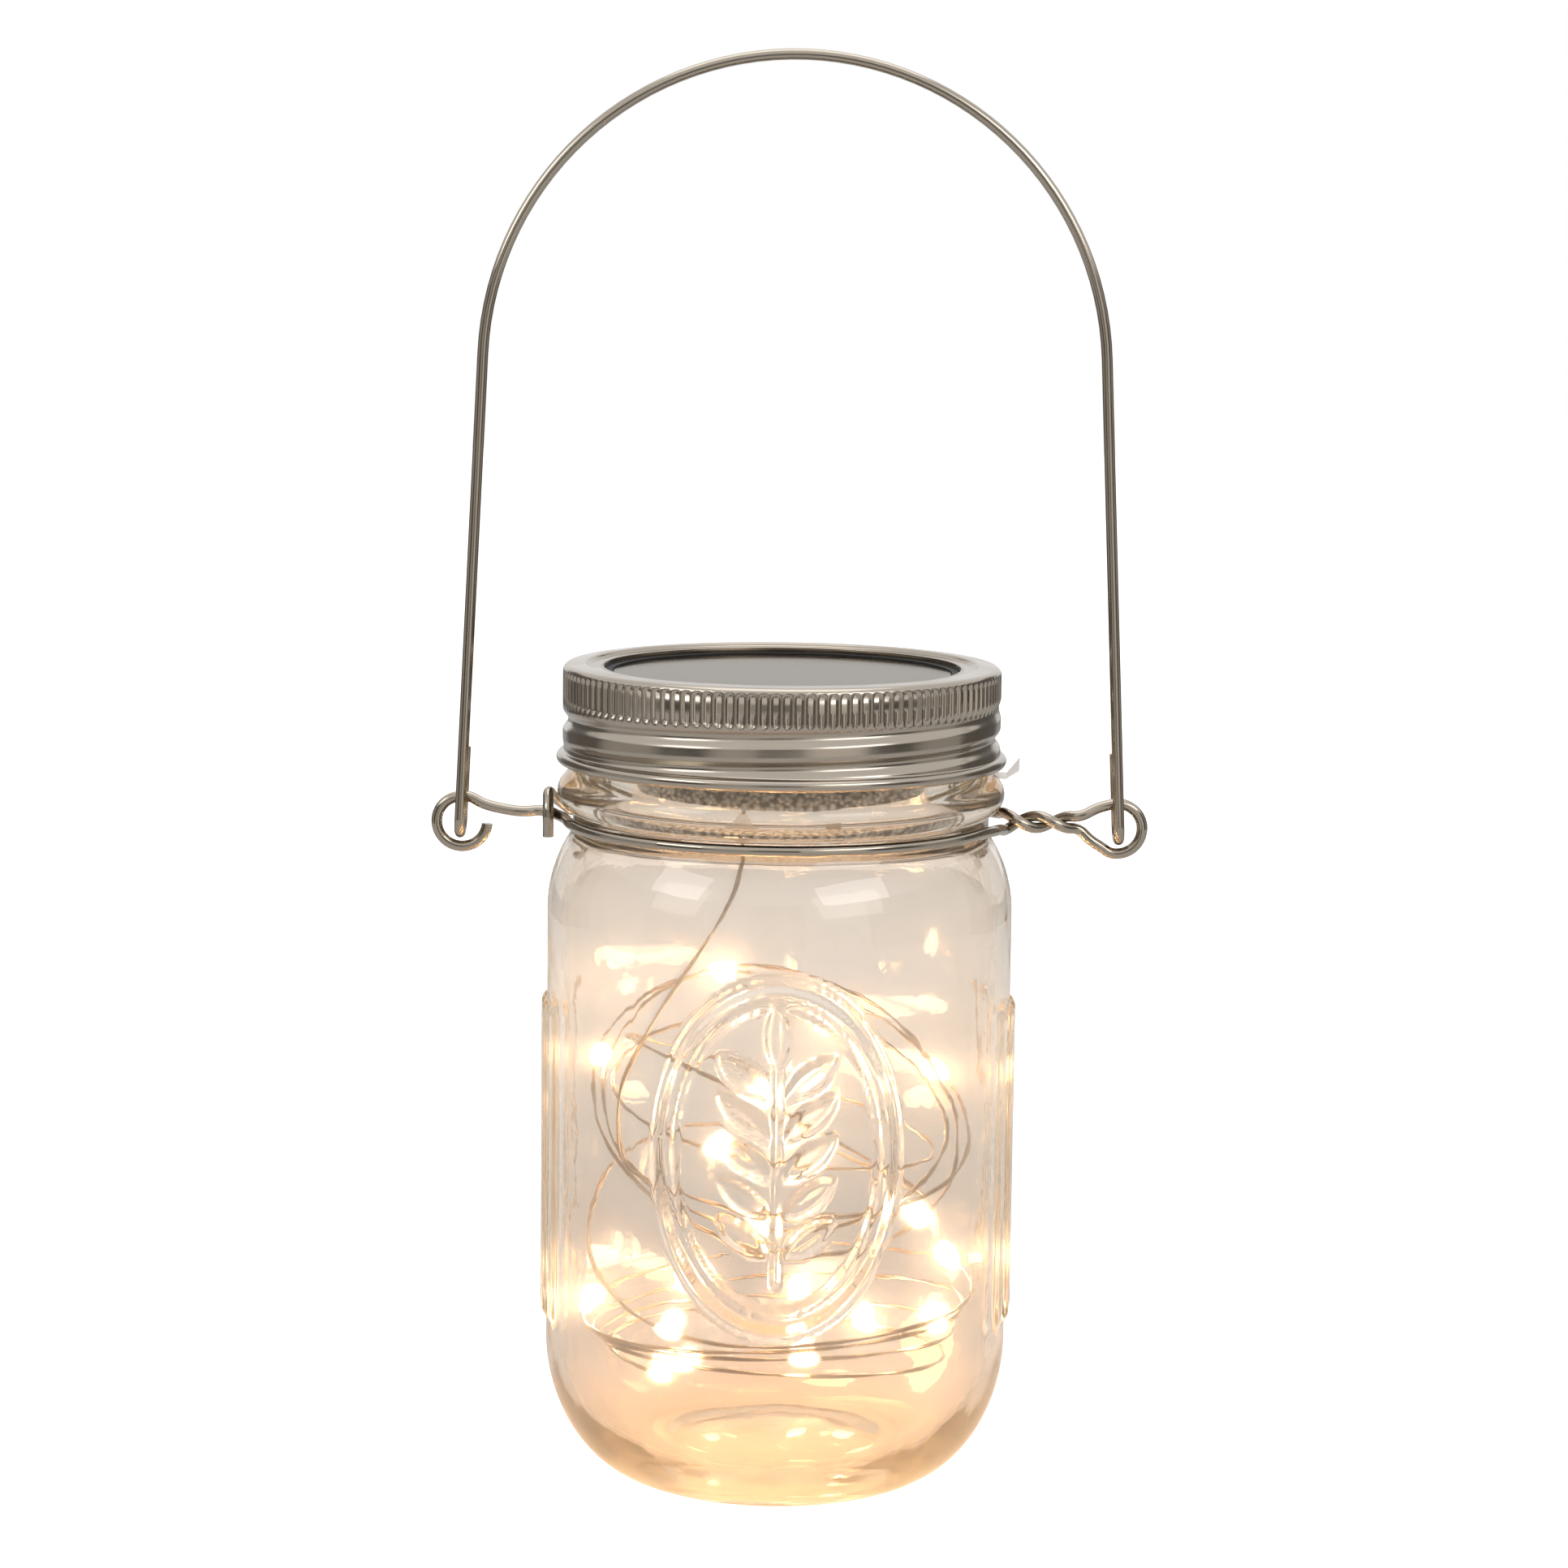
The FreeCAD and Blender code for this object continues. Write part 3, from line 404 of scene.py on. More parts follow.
rows_r = jar_line[:, :1]
rows_z = jar_line[:, 1:]
columns = jar_angle[None, :]
on_outside = (np.arange(len(jar_line)) < len(outer_line))[:, None]
on_wall = on_outside & (rows_z > HEEL_Z - SLACK) & (rows_z < SHOULDER_Z + SLACK)
on_finish = on_outside & (rows_z > FINISH_LOW) & (rows_z < lip_low + SLACK) & (rows_r < NECK_R)
on_inner_wall = ~on_outside & (rows_r > BORE_R)
jar_r = rows_r + on_wall * np.maximum(flute_height(columns, rows_z), design_height(columns, rows_z))
jar_r = jar_r + on_finish * thread_height(columns, rows_z) + on_inner_wall * mould_wave(columns, rows_z)
jar_z = np.broadcast_to(rows_z, jar_r.shape)
jar = turned_piece("pressed_jar", jar_r, jar_z, columns, jar_glass, poles=(PUSH_UP, dome_z))
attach(jar, "jar")
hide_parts("glass_jar")

# %% [markdown]
# The screw band is pressed from tinplate: a satin, slightly warm grey metal with fine lines round it
# from rolling. The lines are noise that is long round the axis and short up it. The handle's drawn
# wire has them up its legs. Both are finer than a pixel in life and are drawn wider, to show.

# %% Satin tinplate and drawn wire
BRUSH_MM, STREAK_MM, BLOTCH_MM = 0.35, 0.5, 9.0
ROUGH_LESS, ROUGH_MORE = 0.05, 0.07


def satin_metal(name, hex_code, rough, fine_mm, squeeze, bump_deep):
    """A metal whose roughness wanders in blotches and whose surface has fine drawn lines."""
    material, tree = new_material(name)
    place = add(tree, "ShaderNodeTexCoord").outputs["Object"]
    squeezed = add(tree, "ShaderNodeMapping", Vector=place, Scale=squeeze)
    lines = add(tree, "ShaderNodeTexNoise", Vector=squeezed.outputs["Vector"],
                Scale=1 / (fine_mm * MM), Detail=3.0)
    blotch = add(tree, "ShaderNodeTexNoise", Vector=place, Scale=1 / (BLOTCH_MM * MM), Detail=3.0)
    roughness = add(tree, "ShaderNodeMapRange", Value=blotch.outputs["Fac"], From_Min=0.3, From_Max=0.7,
                    To_Min=rough - ROUGH_LESS, To_Max=rough + ROUGH_MORE)
    bump = add(tree, "ShaderNodeBump", Height=lines.outputs["Fac"], Strength=0.3,
               Distance=bump_deep * MM)
    metal = add(tree, "ShaderNodeBsdfPrincipled", Base_Color=linear(hex_code), Metallic=1.0,
                Roughness=roughness.outputs["Result"], Normal=bump.outputs["Normal"])
    add(tree, "ShaderNodeOutputMaterial", Surface=metal.outputs["BSDF"])
    return material


tinplate = satin_metal("satin_rolled_tinplate", "#ADA498", 0.2, BRUSH_MM, (0.12, 0.12, 1.0), 0.012)
drawn_wire = satin_metal("drawn_galvanised_wire", "#A89F92", 0.15, STREAK_MM, (1.0, 1.0, 0.15), 0.004)
print("metals", tinplate.name, drawn_wire.name)

# %% [markdown]
# The band's outline is a closed loop: round the hole's rolled edge, over the top with its step, down
# the knurled wall and the pressed thread, round the curl and back up inside.

# %% The band's outline
BAND_TOP, BAND_R, SHEET = 139.8, 37.05, 0.5
HOLE_R, ROLL, ROLL_START = 29.4, 0.75, 0.6
STEP_R, STEP, STEP_MIDDLE, STEP_LEAN, STEP_RUN = 32.6, 0.6, 0.4, 0.1, 1.0
CORNER, DISH = 1.2, 0.15
CURL_R, CURL_Z, CURL_ROUND, CURL_TUCK, CURL_NECK = 37.1, 123.9, 1.0, 0.1, 0.6
KNURLS, KNURL_TOP, KNURL_LOW, KNURL_DEEP = 124, 138.6, 133.2, 0.6
KNURL_FOOT = KNURL_LOW - 0.4
INSIDE_ROUND, INSIDE_LAND = 0.3, 1.2

rim_z = BAND_TOP - STEP
roll_r = HOLE_R + ROLL
step_middle = (STEP_R + STEP_MIDDLE, BAND_TOP - STEP / 2)
step_top = (STEP_R + STEP_RUN, BAND_TOP)
corner_in = (BAND_R - CORNER, BAND_TOP - DISH)
corner_out = (BAND_R, BAND_TOP - DISH - CORNER)
outside_line = np.concatenate([
    arc_to((HOLE_R + ROLL_START, rim_z - 2 * ROLL), (roll_r, rim_z), (roll_r, rim_z - ROLL), 8),
    straight((roll_r, rim_z), (STEP_R, rim_z), 3),
    bend((STEP_R, rim_z), (STEP_R + STEP_MIDDLE - STEP_LEAN, rim_z), step_middle, 4),
    bend(step_middle, (STEP_R + STEP_MIDDLE + STEP_LEAN, BAND_TOP), step_top, 4),
    straight(step_top, corner_in, 3),
    arc_to(corner_in, corner_out, (corner_in[0], corner_out[1]), 6),
    straight(corner_out, (BAND_R, KNURL_FOOT), 14),
    straight((BAND_R, KNURL_FOOT), (BAND_R, CURL_Z + CURL_ROUND), 26),
    arc_to((CURL_R, CURL_Z + CURL_ROUND), (CURL_R, CURL_Z - CURL_ROUND), (CURL_R, CURL_Z), 10),
])
inside_r = BAND_R - SHEET
under_z = BAND_TOP - SHEET
inside_corners = [
    (CURL_R - SHEET, CURL_Z - CURL_ROUND + CURL_TUCK), (inside_r, CURL_Z + CURL_NECK),
    (inside_r, KNURL_FOOT), (inside_r, under_z - INSIDE_ROUND), (STEP_R + INSIDE_LAND, under_z),
    (STEP_R, under_z - STEP), (HOLE_R + INSIDE_LAND, under_z - STEP),
]
inside_rows = (2, 18, 2, 2, 2, 2)
inside_line = np.concatenate([
    straight(*stretch) for stretch in zip(inside_corners, inside_corners[1:], inside_rows)])
band_line = np.concatenate([outside_line, inside_line])
print("band outline", len(outside_line), "rows outside,", len(inside_line), "inside")

# %% [markdown]
# The knurl is a row of short flutes pressed into the wall, and the thread is a shallow channel that
# winds down it. Both are depths taken off the radius. Eight columns to a flute are placed where its
# edges are, so that each ridge is crisp without a dense mesh.

# %% The screw band
KNURL_END, KNURL_WIDE = 0.9, 0.82
GROOVE_DEEP, GROOVE_HALF, GROOVE_START, GROOVE_TURNS, GROOVE_FADE = 0.95, 1.9, -185.0, 1.55, 0.1
GROOVE_Z = THREAD_Z + THREAD_PITCH / 2
WALL_LOW = CURL_Z + 0.3
WALL_SLACK = 0.01

flute_phase = np.array([0.0, 0.09, 0.15, 0.3, 0.5, 0.7, 0.85, 0.91])
band_angle = 2 * np.pi * ((np.arange(KNURLS)[:, None] + flute_phase[None, :]) / KNURLS).reshape(-1)
band_phase = np.tile(flute_phase, KNURLS)


def knurl_depth(phase, z):
    """How far a flute is pressed in: a round channel across, and round at its top and bottom ends."""
    across = np.abs(phase - 0.5) * 2
    reach = np.clip(np.minimum(KNURL_TOP - z, z - KNURL_LOW) / KNURL_END, 0, 1)
    width = KNURL_WIDE * np.sqrt(1 - (1 - reach) ** 2) + TINY
    return KNURL_DEEP * np.sqrt(np.clip(1 - (across / width) ** 2, 0, 1)) * (reach > 0)


def groove_depth(angle, z):
    """The pressed thread: a round-bottomed channel on the thread's helix, fading at its ends."""
    turn = (angle - math.radians(GROOVE_START)) % (2 * np.pi) / (2 * np.pi)
    deep = np.zeros(np.broadcast(angle, z).shape)
    for lap in range(math.ceil(GROOVE_TURNS)):
        along = turn + lap
        fade = np.clip(np.minimum(along, GROOVE_TURNS - along) / GROOVE_FADE, 0, 1)
        away = z - (GROOVE_Z + THREAD_PITCH * (GROOVE_START / 360 + along))
        channel = 0.5 + 0.5 * np.cos(np.pi * np.clip(away / GROOVE_HALF, -1, 1))
        deep = np.maximum(deep, GROOVE_DEEP * channel * fade)
    return deep


line_r = band_line[:, :1]
line_z = band_line[:, 1:]
row = np.arange(len(band_line))[:, None]
near_wall = np.abs(line_r - BAND_R) < SHEET + WALL_SLACK
wall_rows = near_wall & (line_z < BAND_TOP - CORNER) & (line_z > WALL_LOW)
outer_rows = wall_rows & (row < len(outside_line))
band_r = line_r - outer_rows * knurl_depth(band_phase[None, :], line_z)
band_r = band_r - wall_rows * groove_depth(band_angle[None, :], line_z)
band_z = np.broadcast_to(line_z, band_r.shape)
band = turned_piece("screw_band", band_r[::-1], band_z[::-1], band_angle[None, :], tinplate)
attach(band, "band")
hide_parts("lid_band")

# %% [markdown]
# The moulded and plated parts keep their solids and get finishes. A moulded piece takes the grain of
# its mould, so one function makes them all from a colour, a roughness and the size of that grain.

# %% Moulded and plated finishes
GRAIN_SHADE = 0.8


def moulded(name, hex_code, rough, grain_mm, grain_deep):
    """A moulded plastic or rubber: one colour that wanders a little, with a grain in its surface."""
    material, tree = new_material(name)
    place = add(tree, "ShaderNodeTexCoord").outputs["Object"]
    grain = add(tree, "ShaderNodeTexNoise", Vector=place, Scale=1 / (grain_mm * MM), Detail=2.0)
    darker = tuple(GRAIN_SHADE * c for c in linear(hex_code)[:3]) + (1.0,)
    shade = add(tree, "ShaderNodeMixRGB", i0=grain.outputs["Fac"], Color1=linear(hex_code), Color2=darker)
    bump = add(tree, "ShaderNodeBump", Height=grain.outputs["Fac"], Strength=0.8,
               Distance=grain_deep * MM)
    body = add(tree, "ShaderNodeBsdfPrincipled", Base_Color=shade.outputs["Color"], Roughness=rough,
               Normal=bump.outputs["Normal"])
    add(tree, "ShaderNodeOutputMaterial", Surface=body.outputs["BSDF"])
    return material


soft_rubber = moulded("moulded_grey_rubber", "#5A5753", 0.7, 0.6, 0.05)
pale_abs = moulded("moulded_pale_abs", "#DDD6CB", 0.4, 0.5, 0.04)
black_abs = moulded("moulded_black_abs", "#1E1E1E", 0.45, 0.5, 0.04)
board_green = moulded("glass_epoxy_solder_mask", "#1F5B36", 0.35, 0.8, 0.02)
sleeve = moulded("shrunk_vinyl_sleeve", "#3F6F52", 0.3, 2.0, 0.02)
nickel = satin_metal("nickel_plated_steel", "#CFCBC2", 0.18, STREAK_MM, (1.0, 1.0, 1.0), 0.01)
print("inner finishes", soft_rubber.name, pale_abs.name, black_abs.name, sleeve.name, nickel.name)

# %% [markdown]
# The insert is grey ABS, spark eroded in the mould to a pebbled grain that glitters through the neck.
# Round cells give the pebbles: the plastic's grey with a painted highlight on each top and painted shade
# between them. The grain is finer in life and is drawn wide enough to show. In the recess round the
# panel the plastic is drawn smooth and nearly black, as painted shade.

# %% The pebbled insert
PEBBLE_MM, PEBBLE_DEEP = 0.75, 0.5
# The two pebble colours are painted light: a highlight on the pebble tops and shade between them.
PEBBLE_PAINTED_HIGHLIGHT, PEBBLE_PAINTED_SHADE, RECESS_PAINTED_SHADE = "#F6F3EE", "#7C776F", "#0B0A0A"
RECESS_Z, RECESS_FADE = 136.9, 0.2


def pebbled_plastic():
    """Pebbles from the distance to the nearest cell's middle, with a painted highlight on top and painted
    shade between; above RECESS_Z smooth and black, as painted shade.
    """
    material, tree = new_material("spark_eroded_grey_abs")
    place = add(tree, "ShaderNodeTexCoord").outputs["Object"]
    height = add(tree, "ShaderNodeSeparateXYZ", Vector=place).outputs["Z"]
    # Above RECESS_Z the recess round the panel is painted nearly black as shade, and drawn smooth.
    recess = add(tree, "ShaderNodeMapRange", Value=height, From_Min=RECESS_Z * MM,
                 From_Max=(RECESS_Z + RECESS_FADE) * MM).outputs["Result"]
    grain = add(tree, "ShaderNodeTexVoronoi", {"feature": "SMOOTH_F1"}, Vector=place,
                Scale=1 / (PEBBLE_MM * MM)).outputs["Distance"]
    # Painted shade between the pebbles and a painted highlight on their tops, by distance from each cell's
    # middle.
    hollow_shade_share = add(tree, "ShaderNodeMapRange", Value=grain, From_Min=0.15, From_Max=0.6)
    shade = add(tree, "ShaderNodeMixRGB", i0=hollow_shade_share.outputs["Result"], Color1=linear(PEBBLE_PAINTED_HIGHLIGHT),
                Color2=linear(PEBBLE_PAINTED_SHADE))
    colour = add(tree, "ShaderNodeMixRGB", i0=recess, Color1=shade.outputs["Color"],
                 Color2=linear(RECESS_PAINTED_SHADE))
    strength = add(tree, "ShaderNodeMapRange", Value=recess, To_Min=1.0, To_Max=0.05)
    bump = add(tree, "ShaderNodeBump", {"invert": True}, Height=grain,
               Strength=strength.outputs["Result"], Distance=PEBBLE_DEEP * MM)
    rough = add(tree, "ShaderNodeMapRange", Value=recess, To_Min=0.22, To_Max=0.65)
    body = add(tree, "ShaderNodeBsdfPrincipled", Base_Color=colour.outputs["Color"],
               Roughness=rough.outputs["Result"], Normal=bump.outputs["Normal"])
    add(tree, "ShaderNodeOutputMaterial", Surface=body.outputs["BSDF"])
    return material


pebbled_abs = pebbled_plastic()
print("insert", pebbled_abs.name, "pebbles", PEBBLE_MM, "mm")

# %% [markdown]
# The pull tab is a strip of polyester film and the grommet is clear silicone. Neither is thick enough
# to bend light that the eye would notice, so both are simply part transparent, with a gloss.

# %% Clear film and silicone
FILM_HAZE_MM, FILM_ROUGHER = 6.0, 0.1


def clear_plastic(name, hex_code, rough, alpha):
    """A thin clear film or cover, mostly see-through, with a gloss that varies a little."""
    material, tree = new_material(name)
    place = add(tree, "ShaderNodeTexCoord").outputs["Object"]
    haze = add(tree, "ShaderNodeTexNoise", Vector=place, Scale=1 / (FILM_HAZE_MM * MM), Detail=2.0)
    roughness = add(tree, "ShaderNodeMapRange", Value=haze.outputs["Fac"], To_Min=rough,
                    To_Max=rough + FILM_ROUGHER)
    film = add(tree, "ShaderNodeBsdfPrincipled", Base_Color=linear(hex_code), Alpha=alpha,
               Roughness=roughness.outputs["Result"])
    add(tree, "ShaderNodeOutputMaterial", Surface=film.outputs["BSDF"])
    return material


tab_film = clear_plastic("polyester_film", "#F4E6DF", 0.3, 0.5)
clear_silicone = clear_plastic("moulded_clear_silicone", "#EFE6DA", 0.4, 0.3)
print("clear finishes", tab_film.name, clear_silicone.name)

# %% [markdown]
# The panel is a thin-film cell potted in clear resin. Glass over a dark sheet would do in a render, but
# the resin's gloss is what the eye meets at a low angle, so it is a Fresnel mix of gloss and
# see-through. The cell under it is dark, with fine scribed lines.

# %% The solar panel
RESIN_HAZE_MM, RESIN_IOR, RESIN_GLOSS, RESIN_CLEAR = 9.0, 1.62, "#DFDAD3", "#F3F1EF"
CELL_TURN, SCRIBE_MM, CELL_DARK, SCRIBE_PALE = -33.0, 5.0, "#45413D", "#8E8880"
WAVE_UNIT = 0.314


def potting_gloss():
    """Clear resin over the cell: Fresnel gloss on top, and the cell seen through it."""
    material, tree = new_material("clear_potting_resin")
    place = add(tree, "ShaderNodeTexCoord").outputs["Object"]
    haze = add(tree, "ShaderNodeTexNoise", Vector=place, Scale=1 / (RESIN_HAZE_MM * MM), Detail=2.0)
    rough = add(tree, "ShaderNodeMapRange", Value=haze.outputs["Fac"], To_Min=0.05, To_Max=0.14)
    gloss = add(tree, "ShaderNodeBsdfGlossy", Color=linear(RESIN_GLOSS), Roughness=rough.outputs["Result"])
    clear = add(tree, "ShaderNodeBsdfTransparent", Color=linear(RESIN_CLEAR))
    share = add(tree, "ShaderNodeFresnel", IOR=RESIN_IOR)
    mix = add(tree, "ShaderNodeMixShader", i0=share.outputs["Fac"], i1=clear.outputs["BSDF"],
              i2=gloss.outputs["BSDF"])
    add(tree, "ShaderNodeOutputMaterial", Surface=mix.outputs["Shader"])
    return material


def solar_silicon():
    """Thin-film silicon: dark, with a fine scribed line every SCRIBE_MM.

    At scale 1 a wave texture repeats every WAVE_UNIT, so scale = WAVE_UNIT / spacing.
    """
    material, tree = new_material("scribed_thin_film_silicon")
    place = add(tree, "ShaderNodeTexCoord").outputs["Object"]
    turned = add(tree, "ShaderNodeMapping", Vector=place, Rotation=(0, 0, math.radians(-CELL_TURN)))
    lines = add(tree, "ShaderNodeTexWave", {"bands_direction": "X"}, Vector=turned.outputs["Vector"],
                Scale=WAVE_UNIT / (SCRIBE_MM * MM))
    scribe = add(tree, "ShaderNodeMapRange", Value=lines.outputs["Fac"], From_Min=0.985, From_Max=1.0)
    shade = add(tree, "ShaderNodeMixRGB", i0=scribe.outputs["Result"], Color1=linear(CELL_DARK),
                Color2=linear(SCRIBE_PALE))
    cell = add(tree, "ShaderNodeBsdfPrincipled", Base_Color=shade.outputs["Color"], Roughness=0.2)
    add(tree, "ShaderNodeOutputMaterial", Surface=cell.outputs["BSDF"])
    return material


potting_resin = potting_gloss()
scribed_cell = solar_silicon()
print("panel", potting_resin.name, "over", scribed_cell.name)

# %% [markdown]
# Each solid that stays as it is takes one finish over all its faces.

# %% Dress the solids
finishes = {
    "puck_housing": pebbled_abs, "puck_base": pebbled_abs, "battery_door": pebbled_abs,
    "lid_gasket": soft_rubber, "wire_grommet": clear_silicone, "circuit_board": board_green,
    "board_parts": black_abs, "switch_body": black_abs, "switch_slider": pale_abs,
    "battery_cell": sleeve, "contact_plate": nickel, "spring_plate": nickel, "contact_spring": nickel,
    "base_screw_1": nickel, "base_screw_2": nickel, "base_screw_3": nickel, "cell_busbars": nickel,
    "solar_cell": scribed_cell, "panel_cover": potting_resin, "pull_tab": tab_film,
    "neck_wire": drawn_wire, "bail_handle": drawn_wire,
}
for node_name, material in finishes.items():
    solid = nodes[node_name].data
    solid.materials.clear()
    solid.materials.append(material)
    solid.polygons.foreach_set("material_index", np.zeros(len(solid.polygons), dtype=np.int32))
print("finishes on", len(finishes), "solids")

# %% [markdown]
# The light string leaves the insert through its grommet, drops down the wall and lies in loops, each
# inside the last and tilted its own way. The drop is a list of given points, as steps from the
# grommet, and the loops are a formula.

# %% The light string's route
COIL_TURNS, COIL_START, POINTS_PER_TURN = 9, 232.0, 32
LOW_TURN, SETTLE_EARLY, SETTLE_TURNS = 5.0, 0.6, 0.7
TALL_R, TALL_STEP, TALL_Z = 33.2, 1.9, 64.0
LOW_R, LOW_STEP, LOW_Z, LOW_FALL = 34.8, 1.6, 32.0, 3.0
TALL_WAVES = [(13.0, 0.93, 4.4), (6.0, 1.2, 2.2)]
LOW_WAVES = [(2.2, 1.13, 1.0)]
GROMMET = (-6.0, -20.0, 114.1)
DROP_STEPS = [(0, 0, 0), (0, 0, -6), (-2.6, -2.8, -13), (-7.2, -5.6, -20),
              (-12.2, -6.6, -27.5), (-16.6, -5.4, -36), (-20, -2.6, -44)]
LEAD_IN, SMALL_TURN = 6.0, 0.001


def wavy(level, turn, waves):
    """level + the sum of high * sin(rate * turn + start)."""
    for high, rate, start in waves:
        level = level + high * np.sin(rate * turn + start)
    return level


def coil_point(turns):
    """Tall wavy loops spiral in, then low loops start again at the wall and settle to the floor."""
    turn = 2 * np.pi * turns
    low = ease(np.clip((turns - LOW_TURN + SETTLE_EARLY) / SETTLE_TURNS, 0, 1))
    tall_z = wavy(TALL_Z, turn, TALL_WAVES)
    low_z = wavy(LOW_Z - LOW_FALL * (turns - LOW_TURN), turn, LOW_WAVES)
    radius = (1 - low) * (TALL_R - TALL_STEP * turns) + low * (LOW_R - LOW_STEP * (turns - LOW_TURN))
    height = (1 - low) * tall_z + low * low_z
    azimuth = math.radians(COIL_START) + turn
    return np.stack([radius * np.cos(azimuth), radius * np.sin(azimuth), height], axis=-1)


coil = coil_point(np.linspace(0, COIL_TURNS, COIL_TURNS * POINTS_PER_TURN + 1))
way = coil_point(np.array([SMALL_TURN]))[0] - coil_point(np.array([-SMALL_TURN]))[0]
way = way / np.linalg.norm(way)
drop = np.array(GROMMET) + np.array(DROP_STEPS)
route = np.concatenate([drop, [coil[0] - way * LEAD_IN], coil]) * MM
print("route", len(route), "points")

# %% [markdown]
# A wire has no corners, so one smooth curve runs along the route. Blender's own NURBS curve does that,
# and is read back as points, because the wire and the lights both have to follow it.

# %% One smooth curve
def smooth_line(name, points):
    """The NURBS line of order 3 with these control points, read back as an array of points."""
    curve = bpy.data.curves.new(name, "CURVE")
    curve.dimensions = "3D"
    spline = curve.splines.new("NURBS")
    spline.points.add(len(points) - 1)
    spline.points.foreach_set("co", np.column_stack([points, np.ones(len(points))]).ravel())
    spline.order_u = 3
    spline.use_endpoint_u = True
    spline.resolution_u = 6
    holder = bpy.data.objects.new(name, curve)
    bpy.context.scene.collection.objects.link(holder)
    bpy.context.view_layer.update()
    mesh = bpy.data.meshes.new_from_object(holder.evaluated_get(bpy.context.evaluated_depsgraph_get()))
    line = np.zeros(len(mesh.vertices) * 3)
    mesh.vertices.foreach_get("co", line)
    bpy.data.objects.remove(holder)
    bpy.data.meshes.remove(mesh)
    bpy.data.curves.remove(curve)
    return line.reshape(-1, 3)


light_line = smooth_line("light_route", route)
light_run = np.concatenate([[0], np.cumsum(np.linalg.norm(np.diff(light_line, axis=0), axis=1))])
print("light string length", round(float(light_run[-1]), 4), "m on", len(light_line), "points")

# %% [markdown]
# The wire is two fine enamelled strands that wind slowly round each other. A bevelled curve would do
# for one round wire, but not for a pair, so each strand is a tube: a small circle carried along the
# line. The circle needs two directions square to the line. One is the way out from the jar's axis with
# its part along the line taken off, and the other is square to both.

# %% Tubes along a line
HAIR = 1e-9


def frames_along(line):
    """Directions along a line, and two directions square to it from a fixed outward guide."""
    along = np.gradient(line, axis=0)
    along /= np.linalg.norm(along, axis=1, keepdims=True)
    guide = np.stack([line[:, 0], line[:, 1], np.zeros(len(line))], axis=-1) + HAIR
    side = guide - along * np.sum(guide * along, axis=1, keepdims=True)
    side /= np.linalg.norm(side, axis=1, keepdims=True)
    return along, side, np.cross(along, side)


def tube_grid(line, side, up, radius, sides):
    """Point = line + radius (side cos t + up sin t); rows run along the line."""
    t = np.linspace(0, 2 * np.pi, sides, endpoint=False)[None, :, None]
    size = np.reshape(radius, (-1, 1, 1))
    return line[:, None, :] + size * (side[:, None, :] * np.cos(t) + up[:, None, :] * np.sin(t))


def tubes_piece(name, grids, material):
    """Several tubes in one mesh, each closed by a flat face at both ends."""
    points, faces, start = [], [], 0
    for grid in grids:
        rows, sides = grid.shape[:2]
        points.append(grid.reshape(-1, 3))
        faces += (grid_faces(rows, sides, False) + start).tolist()
        faces.append((start + np.arange(sides))[::-1].tolist())
        faces.append((start + (rows - 1) * sides + np.arange(sides)).tolist())
        start += rows * sides
    print(name, "tubes", len(grids), "faces", len(faces))
    return mesh_object(name, np.concatenate(points), faces, material)


# %% [markdown]
# The strands are copper, silver plated and then enamelled, so the metal is bright under a thin glossy
# coat. It has dulled a little in patches, which keeps the loops from shining evenly.

# %% The wire
TWIST_MM, STRAND_R, STRAND_APART, STRAND_SIDES = 38.0, 0.21, 0.19, 6
TARNISH_MM, WIRE_BRIGHT, WIRE_DULL = 7.0, "#B9AA98", "#8E7F70"


def enamelled_wire():
    """Fine copper wire, silver plated and enamelled: bright, slightly golden, glossy."""
    material, tree = new_material("enamelled_silvered_copper")
    place = add(tree, "ShaderNodeTexCoord").outputs["Object"]
    tarnish = add(tree, "ShaderNodeTexNoise", Vector=place, Scale=1 / (TARNISH_MM * MM), Detail=2.0)
    shade = add(tree, "ShaderNodeMixRGB", i0=tarnish.outputs["Fac"], Color1=linear(WIRE_BRIGHT),
                Color2=linear(WIRE_DULL))
    metal = add(tree, "ShaderNodeBsdfPrincipled", Base_Color=shade.outputs["Color"], Metallic=1.0,
                Roughness=0.25, Coat_Weight=0.4, Coat_Roughness=0.1)
    add(tree, "ShaderNodeOutputMaterial", Surface=metal.outputs["BSDF"])
    return material


along, side, up = frames_along(light_line)
spin = (2 * np.pi * light_run / (TWIST_MM * MM))[:, None]
apart = (side * np.cos(spin) + up * np.sin(spin)) * STRAND_APART * MM
strands = [tube_grid(light_line + sign * apart, side, up, STRAND_R * MM, STRAND_SIDES) for sign in (-1, 1)]
light_wire = tubes_piece("light_wire", strands, enamelled_wire())
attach(light_wire, "insert")
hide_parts("light_wire_drop", "light_wire_coil")

# %% [markdown]
# Each light is a chip sealed in a drop of clear resin on the wire. Its place is read from the solid
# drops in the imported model, and its direction from the nearest stretch of the wire. The drop is a tube
# that swells and closes, and it glows by itself. The lamps that light the jar come later.

# %% The lights
DROP_LONG, DROP_R, DROP_TIP, DROP_REACH = 5.0, 1.3, 0.02, 1.3
DROP_ROWS, DROP_SIDES = 13, 12


def light_resin():
    """Clear epoxy lit from inside: an even, warm white glow."""
    material, tree = new_material("lit_epoxy_drop")
    resin = add(tree, "ShaderNodeBsdfPrincipled", Base_Color=linear("#FFE3B8"), Roughness=0.15,
                Emission_Color=linear("#FFCF92"), Emission_Strength=60.0)
    add(tree, "ShaderNodeOutputMaterial", Surface=resin.outputs["BSDF"])
    return material


